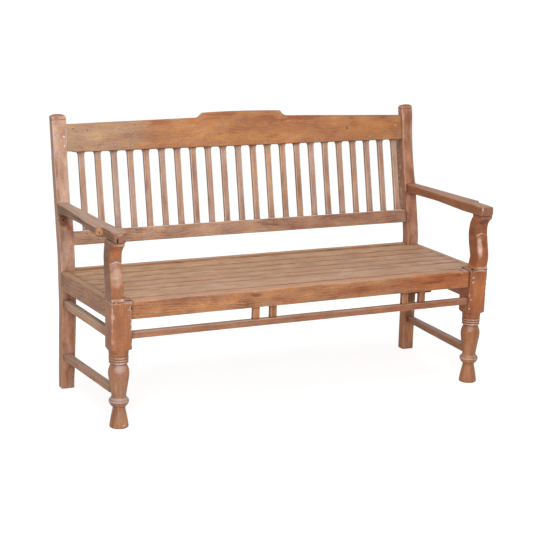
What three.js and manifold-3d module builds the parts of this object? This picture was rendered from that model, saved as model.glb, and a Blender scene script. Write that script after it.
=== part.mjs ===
// A hardwood bench with a slatted back, a boarded seat, flat arms and turned front legs.
// Millimetres. Seen from the front, +X is to the right, +Y to the rear and +Z up, and the names of the
// pieces use right and left in that sense. The floor is at zero height and the origin is in the middle
// of the bench's footprint.

import * as THREE from 'three';
import { mergeVertices } from 'three/addons/utils/BufferGeometryUtils.js';
import Module from 'manifold-3d';

const wasm = await Module();
wasm.setup();

// Overall frame
const backWidth = 1520; // over the outer faces of the rear posts
const frontWidth = 1500; // over the outer faces of the front leg blocks
const frameDepth = 503.5; // from the front of the leg blocks to the front of the rear posts
const seatHeight = 444; // floor to the top of the seat boards
const rake = THREE.MathUtils.degToRad(11.35); // lean of the back

// Fit of the joints
const fitGap = 0.3; // between two pieces that meet
const overrun = 3; // how far a cutter runs past the face that it opens
const shoulder = 11; // height of the shoulder above and below a rail's tenon
const tenonClearance = 1.2; // between two tenons that pass each other inside a post

const roundingSteps = 4; // flats on each small curve

// Rear posts
const postWidth = 50;
const postFootDepth = 34;
const postSeatDepth = 38;
const postTopDepth = 30;
const bendRise = 39.7; // from the seat up to where the posts lean back
const bendReach = 38; // length of the curved stretch on each side of the bend
const postProud = 20.4; // from the end of the crest rail up to the arris of the post's head
const headBand = 6.5; // plain band between the head's arris and its groove
const grooveWidth = 4;
const grooveDepth = 2.4;
const headRise = 19; // height of the domed head
const headHeightShares = [0, 0.42, 0.78, 1];
const headSizeShares = [1, 0.86, 0.55, 0.14];

// Back rails and slats, measured along the lean of the back
const lowerRailRise = 52.3; // from the bend up to the lower back rail
const lowerRailHeight = 52;
const backRailThickness = 27;
const backRailInset = 1.5; // behind the front faces of the posts
const backTenonThickness = 12;
const backTenonLength = 32;
const slatCount = 22;
const slatWidth = 22.5;
const slatThickness = 14;
const slatLength = 286; // clear length between the two rails
const slatTenon = 22;
const slatFirstGap = 46.3; // from the left post to the first slat
const slatLastGap = 25.5; // from the last slat to the right post
const crestPanelHeight = 130.6; // at the ends of the raised centre
const crestMiddleHeight = 133.2;

// The crest rail's two ends differ a little: heights at the post and at the foot of the raised centre,
// half the length of that centre, and the length of the hollow that leads down from it. The hollow's
// share says how deep it bites, 0 being the deepest.
const crestRight = { end: 98, shoulder: 110.8, panelHalf: 164, hollowRun: 28, hollowShare: 0.36 };
const crestLeft = { end: 101.5, shoulder: 112.3, panelHalf: 160, hollowRun: 32, hollowShare: 0.6 };

// Front legs
const legWidth = 74;
const legDepth = 67;
const blockHeight = 171; // square stretch between the turning and the arm support
const blockProud = 2; // the block stands this much above the seat
const turnedRadius = 36; // widest radius of the turning
const turnedSides = 20;
const beadSteps = 6;
const reedSteps = 4;
const reedCount = 3;
const vaseSteps = 11;
const footSteps = 6;

// The turning from the floor up: shares of the turned height, and of the widest radius.
const footShares = [
  [0, 0.8], [0.012, 0.9], [0.03, 0.95], [0.08, 0.88], [0.16, 0.75], [0.225, 0.645], [0.26, 0.64],
];
const beadShares = { low: 0.278, high: 0.384, inner: 0.74, bulge: 0.22 };
const vaseShares = [
  [0.41, 0.72], [0.51, 0.85], [0.61, 0.965], [0.66, 1], [0.71, 0.985], [0.76, 0.88], [0.785, 0.81],
];
const reedShares = { low: 0.8, high: 0.905, lower: 0.88, upper: 0.93, bulge: 0.045 };
const collarShares = [[0.93, 0.95], [0.955, 0.97], [1.02, 0.97]];

// The shoulders where the square block turns round: shares of the turned height and radius.
const pommelShares = [[0.955, 0.9], [0.99, 1.06], [1.012, 1.24], [1.045, 1.48], [1.05, 1.6]];

// Arm supports, the upper ends of the front legs
const supportWidth = 44;
const supportSweep = 23; // how far the front of the support hollows
const supportBury = 12; // how far the ridged facing below the hollow reaches into the support
const gableRise = 9.4; // height of the point at the top of the facing

// Height, front and rear of the support: shares of its height, sweep and leg depth.
const supportShares = [
  [0, 0.5, 0.97], [0.03, 0.5, 0.92], [0.08, 0.5, 0.88], [0.223, 0.5, 0.9], [0.362, 0.72, 0.93],
  [0.5, 0.9, 0.97], [0.6, 0.98, 0.99], [0.69, 1, 1.01], [0.8, 0.98, 1.01], [0.89, 0.85, 0.98],
  [0.957, 0.58, 0.94], [1, 0.26, 0.9],
];

// Height, ridge and edge of the facing: shares of the support's height and sweep.
const facingShares = [
  [0, 0.16, 0.26], [0.08, 0.07, 0.19], [0.17, 0, 0.15], [0.28, 0.04, 0.21], [0.38, 0.25, 0.42],
  [0.52, 0.54, 0.71], [0.63, 0.73, 0.9], [0.72, 0.88, 1.05],
];
const facingTopShare = 0.66; // height of the facing's two sides, as a share of the support's height
const capitalHeight = 13;
const capitalProud = 5;
const capitalRearShare = 0.84; // rear face of the capital, as a share of the leg's depth

// Arms
const armRise = 240; // from the seat up to the top of the arm
const armFrontThickness = 36;
const armRearThickness = 31;
const armNose = 15; // how far the arm runs past the front of the leg
const armNoseInset = 3.5; // the nose's outer face lies this far inside the leg's
const armWidth = 43; // at the nose
const armNoseRounding = 6;
const armNeck = 89; // from the front of the leg to where the arm starts to widen
const armEar = 112; // from the front of the leg to the corner of the wide stretch
const armEarProud = 22; // how far that corner stands out past the leg
const armEdge = 3; // chamfer along the upper edges
const armUnderEdge = 5; // chamfer along the lower edges
const armEarUnderEdge = 14; // chamfer under the wide stretch's outer edge
const armTenonWidth = 28;
const armTenonThickness = 14;
const armTenonLength = 20;
const supportTenonWidth = 22;
const supportTenonDepth = 28;
const supportTenonHeight = 18;

// Seat frame
const frontRailHeight = 64;
const frontRailThickness = 43;
const frontInset = 3; // front rail and stretcher lie this far behind the leg blocks
const frontRailRounding = 7;
const rearRailHeight = 65;
const rearRailThickness = 32;
const rearRailProud = 5; // the rear rail stands this much above the seat boards
const rearRailInset = 1.5;
const sideRailHeight = 68;
const sideRailThickness = 40;
const sideRailRearInset = 0.5; // inside the outer face of the rear post
const sideRailFrontInset = 5; // inside the outer face of the leg block
const railTenonThickness = 16;
const railTenonLength = 28;
const sideTenonThickness = 14;
const sideFrontTenon = 26;
const sideRearTenon = 21;
const rearTenonThickness = 12;
const rearTenonLength = 20;

// Seat boards
const boardThickness = 18;
const boardGap = 3;
const boardHousing = 18; // how far the boards run onto the side rails
const boardShares = [0.231, 0.118, 0.144, 0.157, 0.155, 0.195]; // of the seat's depth, front to rear

// Bearers under the seat boards: a slim one left of the middle and a wide, deep one near the right end
const bearerPlaceShares = [-0.293, 0.698]; // of half the mean length of the front and rear rails
const bearerWidths = [40, 104];
const bearerHeights = [46, 62.5];
const bearerShoulder = 9; // beside its tenons
const bearerFrontTenon = 18;
const bearerRearTenon = 14;

// Stretchers and the short spacers above the front one
const frontStretcherHeight = 24;
const frontStretcherThickness = 25;
const stretcherTenonThickness = 13;
const stretcherTenonLength = 22;
const stretcherShoulder = 4;
const spacerHeight = 42.4; // clear height between the front rail and its stretcher
const spacerWidth = 22.5;
const spacerThickness = 19.5;
const spacerTenon = 9;
const spacerTenonWidth = 15;
const spacerTenonThickness = 12;
const spacerPlaceShares = [-0.312, -0.213, 0.588, 0.697]; // of half the front rail's length
const sideStretcherHeight = 24;
const sideStretcherThickness = 26;
const sideStretcherTenon = 20;
const rightStretcherLift = 12; // the right side stretcher sits this much above the left one
const lowStretcherWidth = 28;
const lowStretcherHeight = 23;
const lowStretcherShare = 0.46; // its middle, as a share of the turned height
const lowStretcherBite = 19; // from the leg's axis to the stretcher's front end
const lowStretcherTenon = 20;

// Pegs through the main tenons
const pegRadius = 3.6;
const pegLength = 26;
const pegSides = 10;
const pegProud = 0.6;
const crestPegFromPost = 7; // from the inner face of the post to its pegs
const crestPegShares = [0.24, 0.58]; // up the crest rail's end
const railPegFromLeg = 15; // from the inner face of the leg block to its pegs
const railPegShares = [0.28, 0.56]; // up the front rail

// Places that follow from the sizes above
const postOuter = backWidth / 2;
const postInner = postOuter - postWidth;
const legOuter = frontWidth / 2;
const legInner = legOuter - legWidth;
const legAxisX = legOuter - legWidth / 2;
const legAxisY = legDepth / 2;
const supportInner = legOuter - supportWidth;
const armOuter = legOuter - armNoseInset;
const armInner = armOuter - armWidth;
const blockTop = seatHeight + blockProud;
const blockBottom = blockTop - blockHeight;
const armTop = seatHeight + armRise;
const supportTop = armTop - armFrontThickness - fitGap;
const bendHeight = seatHeight + bendRise;
const lowerRailTop = lowerRailRise + lowerRailHeight;
const crestBottom = lowerRailTop + slatLength;
const postRise = crestBottom + crestLeft.end + postProud;
const grooveTop = postRise - headBand;
const grooveBase = grooveTop - grooveWidth;
const backRailMiddle = backRailInset + backRailThickness / 2;
const clearWidth = 2 * postInner;
const slatPitch = (clearWidth - slatFirstGap - slatLastGap - slatWidth) / (slatCount - 1);
const firstSlat = slatFirstGap + slatWidth / 2 - postInner;
const frontRailBottom = seatHeight - frontRailHeight;
const frontRailRear = frontInset + frontRailThickness;
const frontStretcherTop = frontRailBottom - spacerHeight;
const frontStretcherBottom = frontStretcherTop - frontStretcherHeight;
const rearRailFront = frameDepth + rearRailInset;
const rearRailBottom = seatHeight - rearRailHeight;
const rearRailTop = seatHeight + rearRailProud;
const sideRailBottom = seatHeight - sideRailHeight;
const housingFloor = seatHeight - boardThickness;
const sideStretcherBottom = frontStretcherBottom;
const lowStretcherBottom = lowStretcherShare * blockBottom - lowStretcherHeight / 2;
const lowStretcherTop = lowStretcherBottom + lowStretcherHeight;

// Finishes
const goldenTeak = new THREE.MeshStandardMaterial({ color: 0xb5794f, roughness: 0.62, metalness: 0 });
const redTeak = new THREE.MeshStandardMaterial({ color: 0xac7155, roughness: 0.6, metalness: 0 });
const rubbedTeak = new THREE.MeshStandardMaterial({ color: 0xab8069, roughness: 0.66, metalness: 0 });
const greyTeak = new THREE.MeshStandardMaterial({ color: 0xa88970, roughness: 0.72, metalness: 0 });
const pegWood = new THREE.MeshStandardMaterial({ color: 0xc9b7a6, roughness: 0.7, metalness: 0 });

// The leaning back is modelled upright in its own frame, which starts at the bend of the posts.
const backFrame = new THREE.Group();
backFrame.position.set(0, frameDepth, bendHeight);
backFrame.rotation.x = -rake;
backFrame.updateMatrix();

// Axes for outlines drawn from the side (Y across, Z up) and from the front (X across, Z up).
const sideView = new THREE.Matrix4().makeBasis(
  new THREE.Vector3(0, 1, 0), new THREE.Vector3(0, 0, 1), new THREE.Vector3(1, 0, 0));
const frontView = new THREE.Matrix4().makeBasis(
  new THREE.Vector3(1, 0, 0), new THREE.Vector3(0, 0, 1), new THREE.Vector3(0, -1, 0));

// Turns a closed geometry into a solid that can be joined and cut.
function solidOf(geometry) {
  const bare = geometry.clone();
  bare.deleteAttribute('normal');
  bare.deleteAttribute('uv');
  const merged = mergeVertices(bare);
  const corners = merged.index.array;
  const kept = [];
  for (let i = 0; i < corners.length; i += 3) {
    const [a, b, c] = corners.slice(i, i + 3);
    if (a !== b && b !== c && c !== a) {
      kept.push(a, b, c);
    }
  }
  return new wasm.Manifold(new wasm.Mesh({
    numProp: 3,
    vertProperties: new Float32Array(merged.attributes.position.array),
    triVerts: new Uint32Array(kept),
  }));
}

// Turns a solid back into a geometry.
function geometryOf(solid) {
  const data = solid.getMesh();
  const geometry = new THREE.BufferGeometry();
  geometry.setAttribute('position', new THREE.BufferAttribute(new Float32Array(data.vertProperties), 3));
  geometry.setIndex(new THREE.BufferAttribute(new Uint32Array(data.triVerts), 1));
  geometry.computeVertexNormals();
  return geometry;
}

// A box between two limits on each axis.
function boxGeometry({ x, y, z }) {
  const geometry = new THREE.BoxGeometry(x[1] - x[0], y[1] - y[0], z[1] - z[0]);
  return geometry.translate((x[0] + x[1]) / 2, (y[0] + y[1]) / 2, (z[0] + z[1]) / 2);
}

function box(limits) {
  return solidOf(boxGeometry(limits));
}

// The same box, wider by the joint's gap on every side: the mortise for that tenon.
function mortise({ x, y, z }) {
  const wider = ([low, high]) => [low - fitGap, high + fitGap];
  return box({ x: wider(x), y: wider(y), z: wider(z) });
}

// Moves a solid of the leaning back into the bench's upright frame.
const leaned = (solid) => solidOf(geometryOf(solid).applyMatrix4(backFrame.matrix));

// A prism with a given outline in plan, between two heights.
function planPrism(corners, low, high) {
  const shape = new THREE.Shape(corners.map(([x, y]) => new THREE.Vector2(x, y)));
  const geometry = new THREE.ExtrudeGeometry(shape, { depth: high - low, bevelEnabled: false });
  return solidOf(geometry.translate(0, 0, low));
}

// A solid through a row of rings, each with the same number of corners and running anticlockwise
// as seen from the end that the rings lead to.
function loft(rings) {
  const count = rings[0].length;
  const positions = rings.flat().flatMap((corner) => corner.toArray());
  const index = [];
  for (let ring = 0; ring + 1 < rings.length; ring += 1) {
    for (let i = 0; i < count; i += 1) {
      const a = ring * count + i;
      const b = ring * count + (i + 1) % count;
      index.push(a, b, b + count, a, b + count, a + count);
    }
  }
  const last = (rings.length - 1) * count;
  for (let i = 1; i + 1 < count; i += 1) {
    index.push(0, i + 1, i);
    index.push(last, last + i, last + i + 1);
  }
  const geometry = new THREE.BufferGeometry();
  geometry.setAttribute('position', new THREE.Float32BufferAttribute(positions, 3));
  geometry.setIndex(index);
  return solidOf(geometry);
}

// Joins or cuts a list of solids.
const joined = (...solids) => solids.reduce((whole, next) => whole.add(next));
const carved = (body, cutters) => cutters.reduce((rest, cutter) => rest.subtract(cutter), body);

// A round peg driven to the rear, with its head just proud of the face that it starts from.
function peg({ x, y, z }, gap = 0) {
  const geometry = new THREE.CylinderGeometry(
    pegRadius + gap, pegRadius + gap, pegLength + pegProud + gap, pegSides);
  return solidOf(geometry.translate(x, y + (pegLength + gap - pegProud) / 2, z));
}

const drilled = (pegs) => pegs.map((place) => peg(place, fitGap));

// A copy of a geometry for the other side of the bench.
function mirrored(geometry) {
  const copy = geometry.clone();
  copy.scale(-1, 1, 1);
  const corners = copy.index.array;
  for (let i = 0; i < corners.length; i += 3) {
    const first = corners[i];
    corners[i] = corners[i + 1];
    corners[i + 1] = first;
  }
  copy.computeVertexNormals();
  return copy;
}

const bench = new THREE.Group();
const seat = new THREE.Group();
const underframe = new THREE.Group();
bench.add(backFrame, seat, underframe);

// Adds one piece, with its geometry measured from its own datum.
function addPiece(parent, name, geometry, datum, material) {
  geometry.translate(-datum.x, -datum.y, -datum.z);
  const mesh = new THREE.Mesh(geometry, material);
  mesh.name = name;
  mesh.position.copy(datum);
  parent.add(mesh);
}

// Adds a right-hand piece and its mirror image on the left. What makes the piece is told how far the
// side stretcher of that end is lifted.
function addPair(parent, name, make, datum, material) {
  const right = geometryOf(make(rightStretcherLift));
  const left = mirrored(geometryOf(make(0)));
  addPiece(parent, `${name}_right`, right, datum, material);
  addPiece(parent, `${name}_left`, left, new THREE.Vector3(-datum.x, datum.y, datum.z), material);
}

// Side members run from leg to post at a slight angle: the outer face's place at a given depth.
function sideOuter(y) {
  const front = legOuter - sideRailFrontInset;
  const rear = postOuter - sideRailRearInset;
  return THREE.MathUtils.mapLinear(y, legDepth, frameDepth, front, rear);
}

// Plan corners of a side member, set in from the side rail's outer face.
function sidePlan(inset, thickness, front, rear) {
  const outer = (y) => sideOuter(y) - inset;
  return [
    [outer(front) - thickness, front], [outer(front), front],
    [outer(rear), rear], [outer(rear) - thickness, rear],
  ];
}

// The tenons of the pieces, each as limits on the three axes.
const around = (middle, size) => [middle - size / 2, middle + size / 2];
const sideRailMiddle = (y) => sideOuter(y) - sideRailThickness / 2;
const frontRailTenonY = around(frontInset + frontRailThickness / 2, railTenonThickness);
const rearRailTenonY = around(rearRailFront + rearRailThickness / 2, rearTenonThickness);
const stretcherTenonY = around(frontInset + frontStretcherThickness / 2, stretcherTenonThickness);

const sideRearTenonInner = postInner + rearTenonLength + tenonClearance;

const tenons = {
  frontRail: {
    x: [legInner - overrun, legInner + railTenonLength],
    y: frontRailTenonY,
    z: [frontRailBottom + shoulder, seatHeight - shoulder],
  },
  rearRail: {
    x: [postInner - overrun, postInner + rearTenonLength],
    y: rearRailTenonY,
    z: [rearRailBottom + shoulder, seatHeight - shoulder],
  },
  sideRailFront: {
    x: around(sideRailMiddle(legDepth), sideTenonThickness),
    y: [legDepth - sideFrontTenon, legDepth + overrun],
    z: [sideRailBottom + shoulder, housingFloor - fitGap],
  },
  sideRailRear: {
    x: [sideRearTenonInner, sideRearTenonInner + sideTenonThickness],
    y: [frameDepth - overrun, frameDepth + sideRearTenon],
    z: [sideRailBottom + shoulder, housingFloor - fitGap],
  },
  frontStretcher: {
    x: [legInner - overrun, legInner + stretcherTenonLength],
    y: stretcherTenonY,
    z: [frontStretcherBottom + stretcherShoulder, frontStretcherTop - stretcherShoulder],
  },
  lowStretcherRear: {
    x: around(sideRailMiddle(frameDepth), sideTenonThickness),
    y: [frameDepth - overrun, frameDepth + lowStretcherTenon],
    z: [lowStretcherBottom + stretcherShoulder, lowStretcherTop - stretcherShoulder],
  },
  supportTop: {
    x: around((legOuter + supportInner) / 2, supportTenonWidth),
    y: around(legDepth * capitalRearShare / 2, supportTenonDepth),
    z: [supportTop - overrun, supportTop + supportTenonHeight],
  },
};

// The two tenons of a side stretcher that is lifted by a given height: at the leg and at the post.
const stretcherHeights = (lift) => [
  sideStretcherBottom + lift, sideStretcherBottom + lift + sideStretcherHeight,
];
function sideStretcherTenons(lift) {
  const [low, high] = stretcherHeights(lift);
  const z = [low + stretcherShoulder, high - stretcherShoulder];
  return {
    front: {
      x: around(sideRailMiddle(legDepth), sideTenonThickness),
      y: [legDepth - sideStretcherTenon, legDepth + overrun],
      z,
    },
    rear: {
      x: around(sideRailMiddle(frameDepth), sideTenonThickness),
      y: [frameDepth - overrun, frameDepth + sideStretcherTenon],
      z,
    },
  };
}

// Tenons of the leaning back, in the back's own frame.
const armMiddleRise = (armTop - armRearThickness / 2 - bendHeight) / Math.cos(rake);
const backTenons = {
  crest: {
    x: [postInner - overrun, postInner + backTenonLength],
    y: around(backRailMiddle, backTenonThickness),
    z: [crestBottom + shoulder, crestBottom + crestRight.end - shoulder],
  },
  lowerRail: {
    x: [postInner - overrun, postInner + backTenonLength],
    y: around(backRailMiddle, backTenonThickness),
    z: [lowerRailRise + shoulder, lowerRailTop - shoulder],
  },
  arm: {
    x: around((postOuter + postInner) / 2, armTenonWidth),
    y: [-overrun, armTenonLength],
    z: around(armMiddleRise, armTenonThickness),
  },
};

// Pegs on the right-hand side: through the front rail's tenon, and through the crest rail's.
const frontPegs = railPegShares.map((share) => new THREE.Vector3(
  legInner + railPegFromLeg, 0, frontRailBottom + share * frontRailHeight));
const crestPegs = crestPegShares.map((share) => new THREE.Vector3(
  postInner + crestPegFromPost, 0, crestBottom + share * crestRight.end));
const otherPegs = (pegs) => pegs.map(({ x, y, z }) => new THREE.Vector3(-x, y, z));
const bothPegs = (pegs) => [...pegs, ...otherPegs(pegs)];

// Side outline of a rear post, from the foot up its front and down its rear.
function postOutline() {
  const onRake = (y, z) => new THREE.Vector2(
    frameDepth + y * Math.cos(rake) + z * Math.sin(rake),
    bendHeight - y * Math.sin(rake) + z * Math.cos(rake));
  const rearBend = new THREE.Vector2(
    frameDepth + postSeatDepth, bendHeight - postSeatDepth * Math.tan(rake / 2));
  const frontBend = onRake(0, 0);
  const frontUpper = onRake(0, bendReach);
  const rearTop = onRake(postTopDepth, grooveBase);
  const rearUpper = rearTop.clone().sub(rearBend).setLength(bendReach).add(rearBend);
  const outline = new THREE.Shape();
  outline.moveTo(frameDepth, 0);
  outline.lineTo(frameDepth, bendHeight - bendReach);
  outline.quadraticCurveTo(frontBend.x, frontBend.y, frontUpper.x, frontUpper.y);
  outline.lineTo(...onRake(0, grooveBase).toArray());
  outline.lineTo(...rearTop.toArray());
  outline.lineTo(...rearUpper.toArray());
  outline.quadraticCurveTo(rearBend.x, rearBend.y, rearBend.x, rearBend.y - bendReach);
  outline.lineTo(frameDepth + postFootDepth, 0);
  outline.closePath();
  return outline;
}

// The domed head of a post above its groove, in the back's frame.
function postHead() {
  const middleX = (postOuter + postInner) / 2;
  const middleY = postTopDepth / 2;
  const ring = (z, share) => {
    const halfX = share * postWidth / 2;
    const halfY = share * postTopDepth / 2;
    return [[-1, -1], [1, -1], [1, 1], [-1, 1]].map(
      ([i, j]) => new THREE.Vector3(middleX + i * halfX, middleY + j * halfY, z));
  };
  const dome = headHeightShares.map((share, i) => ring(postRise + share * headRise, headSizeShares[i]));
  const neck = box({
    x: [postInner + grooveDepth, postOuter - grooveDepth],
    y: [grooveDepth, postTopDepth - grooveDepth],
    z: [grooveBase - overrun, grooveTop + overrun],
  });
  return neck.add(loft([ring(grooveTop, 1), ...dome]));
}

function rearPost(lift) {
  const geometry = new THREE.ExtrudeGeometry(
    postOutline(), { depth: postWidth, bevelEnabled: false, curveSegments: roundingSteps });
  geometry.applyMatrix4(sideView).translate(postInner, 0, 0);
  const post = joined(solidOf(geometry), leaned(postHead()));
  return carved(post, [
    mortise(tenons.rearRail),
    mortise(tenons.sideRailRear),
    mortise(sideStretcherTenons(lift).rear),
    mortise(tenons.lowStretcherRear),
    ...Object.values(backTenons).map((limits) => leaned(mortise(limits))),
    ...drilled(crestPegs).map(leaned),
  ]);
}

// Profile of the turning, from the middle of the foot to the middle of its top.
function turnedOutline() {
  const at = ([height, radius]) => new THREE.Vector2(radius * turnedRadius, height * blockBottom);
  const smooth = (shares, steps) => new THREE.SplineCurve(shares.map(at)).getPoints(steps);
  const swelling = (low, high, radius, bulge, steps) => Array.from({ length: steps + 1 }, (_, i) => {
    const turn = i / steps * Math.PI;
    const height = THREE.MathUtils.lerp(low, high, (1 - Math.cos(turn)) / 2);
    return at([height, radius + bulge * Math.sin(turn)]);
  });
  const { low, high, lower, upper, bulge } = reedShares;
  const reedHeight = (high - low) / reedCount;
  const reeds = Array.from({ length: reedCount }, (_, i) => swelling(
    low + i * reedHeight, low + (i + 1) * reedHeight,
    THREE.MathUtils.lerp(lower, upper, i / reedCount), bulge, reedSteps).slice(i ? 1 : 0));
  const foot = smooth(footShares, footSteps);
  const vase = smooth(vaseShares, vaseSteps);
  const bead = swelling(beadShares.low, beadShares.high, beadShares.inner, beadShares.bulge, beadSteps);
  const collar = collarShares.map(at);
  return [
    new THREE.Vector2(0, foot[0].y), ...foot, ...bead, ...vase, ...reeds.flat(), ...collar,
    new THREE.Vector2(0, collar[collar.length - 1].y),
  ];
}

function turned(points) {
  const geometry = new THREE.LatheGeometry(points, turnedSides);
  geometry.rotateX(Math.PI / 2);
  return solidOf(geometry.translate(legAxisX, legAxisY, 0));
}

// The square block, its lower corners cut round as on the lathe.
function legBlock() {
  const block = box({ x: [legInner, legOuter], y: [0, legDepth], z: [blockBottom, blockTop] });
  const flare = pommelShares.map(
    ([height, radius]) => new THREE.Vector2(radius * turnedRadius, height * blockBottom));
  const top = blockTop + overrun;
  const bounds = turned([
    new THREE.Vector2(0, flare[0].y), ...flare,
    new THREE.Vector2(flare[flare.length - 1].x, top), new THREE.Vector2(0, top),
  ]);
  return block.intersect(bounds);
}

// The curved support between the block and the arm: a hollowed body with a small capital and, below the
// hollow, a facing whose ridge ends in a pointed gable.
function armSupport() {
  const height = supportTop - capitalHeight - blockTop;
  const middle = (supportInner + legOuter) / 2;
  const ring = (z, ridge, edge, rear) => [
    [middle, ridge], [legOuter, edge], [legOuter, rear], [supportInner, rear], [supportInner, edge],
  ].map(([x, y]) => new THREE.Vector3(x, y, z));
  const sunk = (rings) => [rings[0].map((corner) => corner.clone().setZ(blockTop - overrun)), ...rings];
  const body = supportShares.map(([up, front, rear]) => ring(
    blockTop + up * height, front * supportSweep, front * supportSweep, rear * legDepth));
  const facing = facingShares.map(([up, ridge, edge]) => ring(
    blockTop + up * height, ridge * supportSweep, edge * supportSweep, edge * supportSweep + supportBury));
  const eaves = blockTop + facingTopShare * height;
  const gable = new THREE.ExtrudeGeometry(new THREE.Shape([
    new THREE.Vector2(supportInner - overrun, blockTop - overrun),
    new THREE.Vector2(legOuter + overrun, blockTop - overrun),
    new THREE.Vector2(legOuter + overrun, eaves),
    new THREE.Vector2(middle, eaves + gableRise),
    new THREE.Vector2(supportInner - overrun, eaves),
  ]), { depth: legDepth + overrun, bevelEnabled: false });
  gable.applyMatrix4(frontView).translate(0, legDepth, 0);
  const capital = box({
    x: [supportInner, legOuter],
    y: [-capitalProud, capitalRearShare * legDepth],
    z: [supportTop - capitalHeight, supportTop],
  });
  return joined(loft(sunk(body)), loft(sunk(facing)).intersect(solidOf(gable)), capital);
}

function frontLeg(lift) {
  const bite = {
    x: lowStretcherLimits(),
    y: [legAxisY + lowStretcherBite, legDepth + overrun],
    z: [lowStretcherBottom, lowStretcherTop],
  };
  const leg = joined(turned(turnedOutline()), legBlock(), armSupport(), box(tenons.supportTop));
  return carved(leg, [
    mortise(tenons.frontRail),
    mortise(tenons.sideRailFront),
    mortise(tenons.frontStretcher),
    mortise(sideStretcherTenons(lift).front),
    mortise(bite),
    ...drilled(frontPegs),
  ]);
}

// Limits across the low stretcher where it enters the leg.
function lowStretcherLimits() {
  const near = sideRailMiddle(legAxisY + lowStretcherBite);
  const far = sideRailMiddle(legDepth);
  return [Math.min(near, far) - lowStretcherWidth / 2, Math.max(near, far) + lowStretcherWidth / 2];
}

// One arm: a flat board that widens behind its neck and ends in a blunt, chamfered nose.
function arm() {
  const ring = (y, inner, outer, bottom, edge, underEdge, inset = 0) => {
    const left = inner + inset;
    const right = outer - inset;
    const low = bottom + inset;
    const high = armTop - inset;
    return [
      [left, low + armUnderEdge], [left, high - edge], [left + edge, high], [right - edge, high],
      [right, high - edge], [right, low + underEdge], [right - underEdge, low], [left + armUnderEdge, low],
    ].map(([x, z]) => new THREE.Vector3(x, y, z));
  };
  const frontBottom = armTop - armFrontThickness;
  const rearBottom = armTop - armRearThickness;
  const rear = frameDepth + (armTop - bendHeight) * Math.tan(rake) + postTopDepth;
  const ear = legOuter + armEarProud;
  const middle = (armEar + frameDepth) / 2;
  const middleInner = (armInner + postInner) / 2;
  const middleOuter = (ear + postOuter) / 2;
  const body = loft([
    ring(-armNose, armInner, armOuter, frontBottom, armEdge, armUnderEdge, armEdge),
    ring(armNoseRounding - armNose, armInner, armOuter, frontBottom, armEdge, armUnderEdge),
    ring(armNeck, armInner, armOuter, frontBottom, armEdge, armUnderEdge),
    ring(armEar, armInner, ear, frontBottom, armEdge, armEarUnderEdge),
    ring(middle, middleInner, middleOuter, rearBottom, armEdge, armEarUnderEdge),
    ring(frameDepth, postInner, postOuter, rearBottom, armEdge, armUnderEdge),
    ring(rear, postInner, postOuter, rearBottom, armEdge, armUnderEdge),
  ]);
  const behindPost = {
    x: [Math.min(armInner, postInner) - overrun, Math.max(ear, postOuter) + overrun],
    y: [-fitGap, postRise],
    z: [0, postRise],
  };
  const shaped = carved(body, [leaned(box(behindPost)), mortise(tenons.supportTop)]);
  return joined(shaped, leaned(box(backTenons.arm)));
}

// Plan, height and housing of a side seat rail.
function sideRail() {
  const front = legDepth + fitGap;
  const rear = frameDepth - fitGap;
  const rail = planPrism(sidePlan(0, sideRailThickness, front, rear), sideRailBottom, seatHeight);
  const housing = planPrism(
    sidePlan(sideRailThickness - boardHousing, boardHousing + overrun, front - overrun, rear + overrun),
    housingFloor - fitGap, seatHeight + overrun);
  return joined(carved(rail, [housing]), box(tenons.sideRailFront), box(tenons.sideRailRear));
}

// Seat boards run lengthwise, let into the side rails and cut round the legs.
const seatFront = frontRailRear + boardGap;
const seatRear = frameDepth - fitGap;
const seatDepth = seatRear - seatFront + boardGap;
const boards = boardShares.map((share, i) => {
  const before = boardShares.slice(0, i).reduce((sum, one) => sum + one, 0);
  const front = seatFront + before * seatDepth;
  return { front, rear: front + share * seatDepth - boardGap };
});
const boardEnd = (y) => sideOuter(y) - sideRailThickness + boardHousing - fitGap;

function seatBoard({ front, rear }) {
  const half = [];
  const notchEnd = legDepth + fitGap;
  if (front < notchEnd) {
    half.push([legInner - fitGap, front], [legInner - fitGap, notchEnd], [boardEnd(notchEnd), notchEnd]);
  } else {
    half.push([boardEnd(front), front]);
  }
  half.push([boardEnd(rear), rear]);
  const otherHalf = half.map(([x, y]) => [-x, y]).reverse();
  return planPrism([...half, ...otherHalf], housingFloor, seatHeight);
}

// The bearers under the boards, tenoned into the front and rear rails.
const bearers = bearerPlaceShares.map((share, i) => ({
  x: share * (legInner + postInner) / 2, width: bearerWidths[i], height: bearerHeights[i],
}));

function bearerTenons({ x, width }) {
  const limits = {
    x: around(x, width - 2 * bearerShoulder),
    z: [frontRailBottom + shoulder, housingFloor - fitGap - shoulder],
  };
  return {
    front: { ...limits, y: [frontRailRear - bearerFrontTenon, frontRailRear + overrun] },
    rear: { ...limits, y: [rearRailFront - overrun, rearRailFront + bearerRearTenon] },
  };
}

function seatBearer(bearer) {
  const body = box({
    x: around(bearer.x, bearer.width),
    y: [frontRailRear + fitGap, rearRailFront - fitGap],
    z: [housingFloor - bearer.height, housingFloor - fitGap],
  });
  return joined(body, ...Object.values(bearerTenons(bearer)).map(box));
}

// A tenon's limits on the other side of the bench.
const otherSide = ({ x, y, z }) => ({ x: [-x[1], -x[0]], y, z });
const bothSides = (limits) => [limits, otherSide(limits)];

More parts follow.
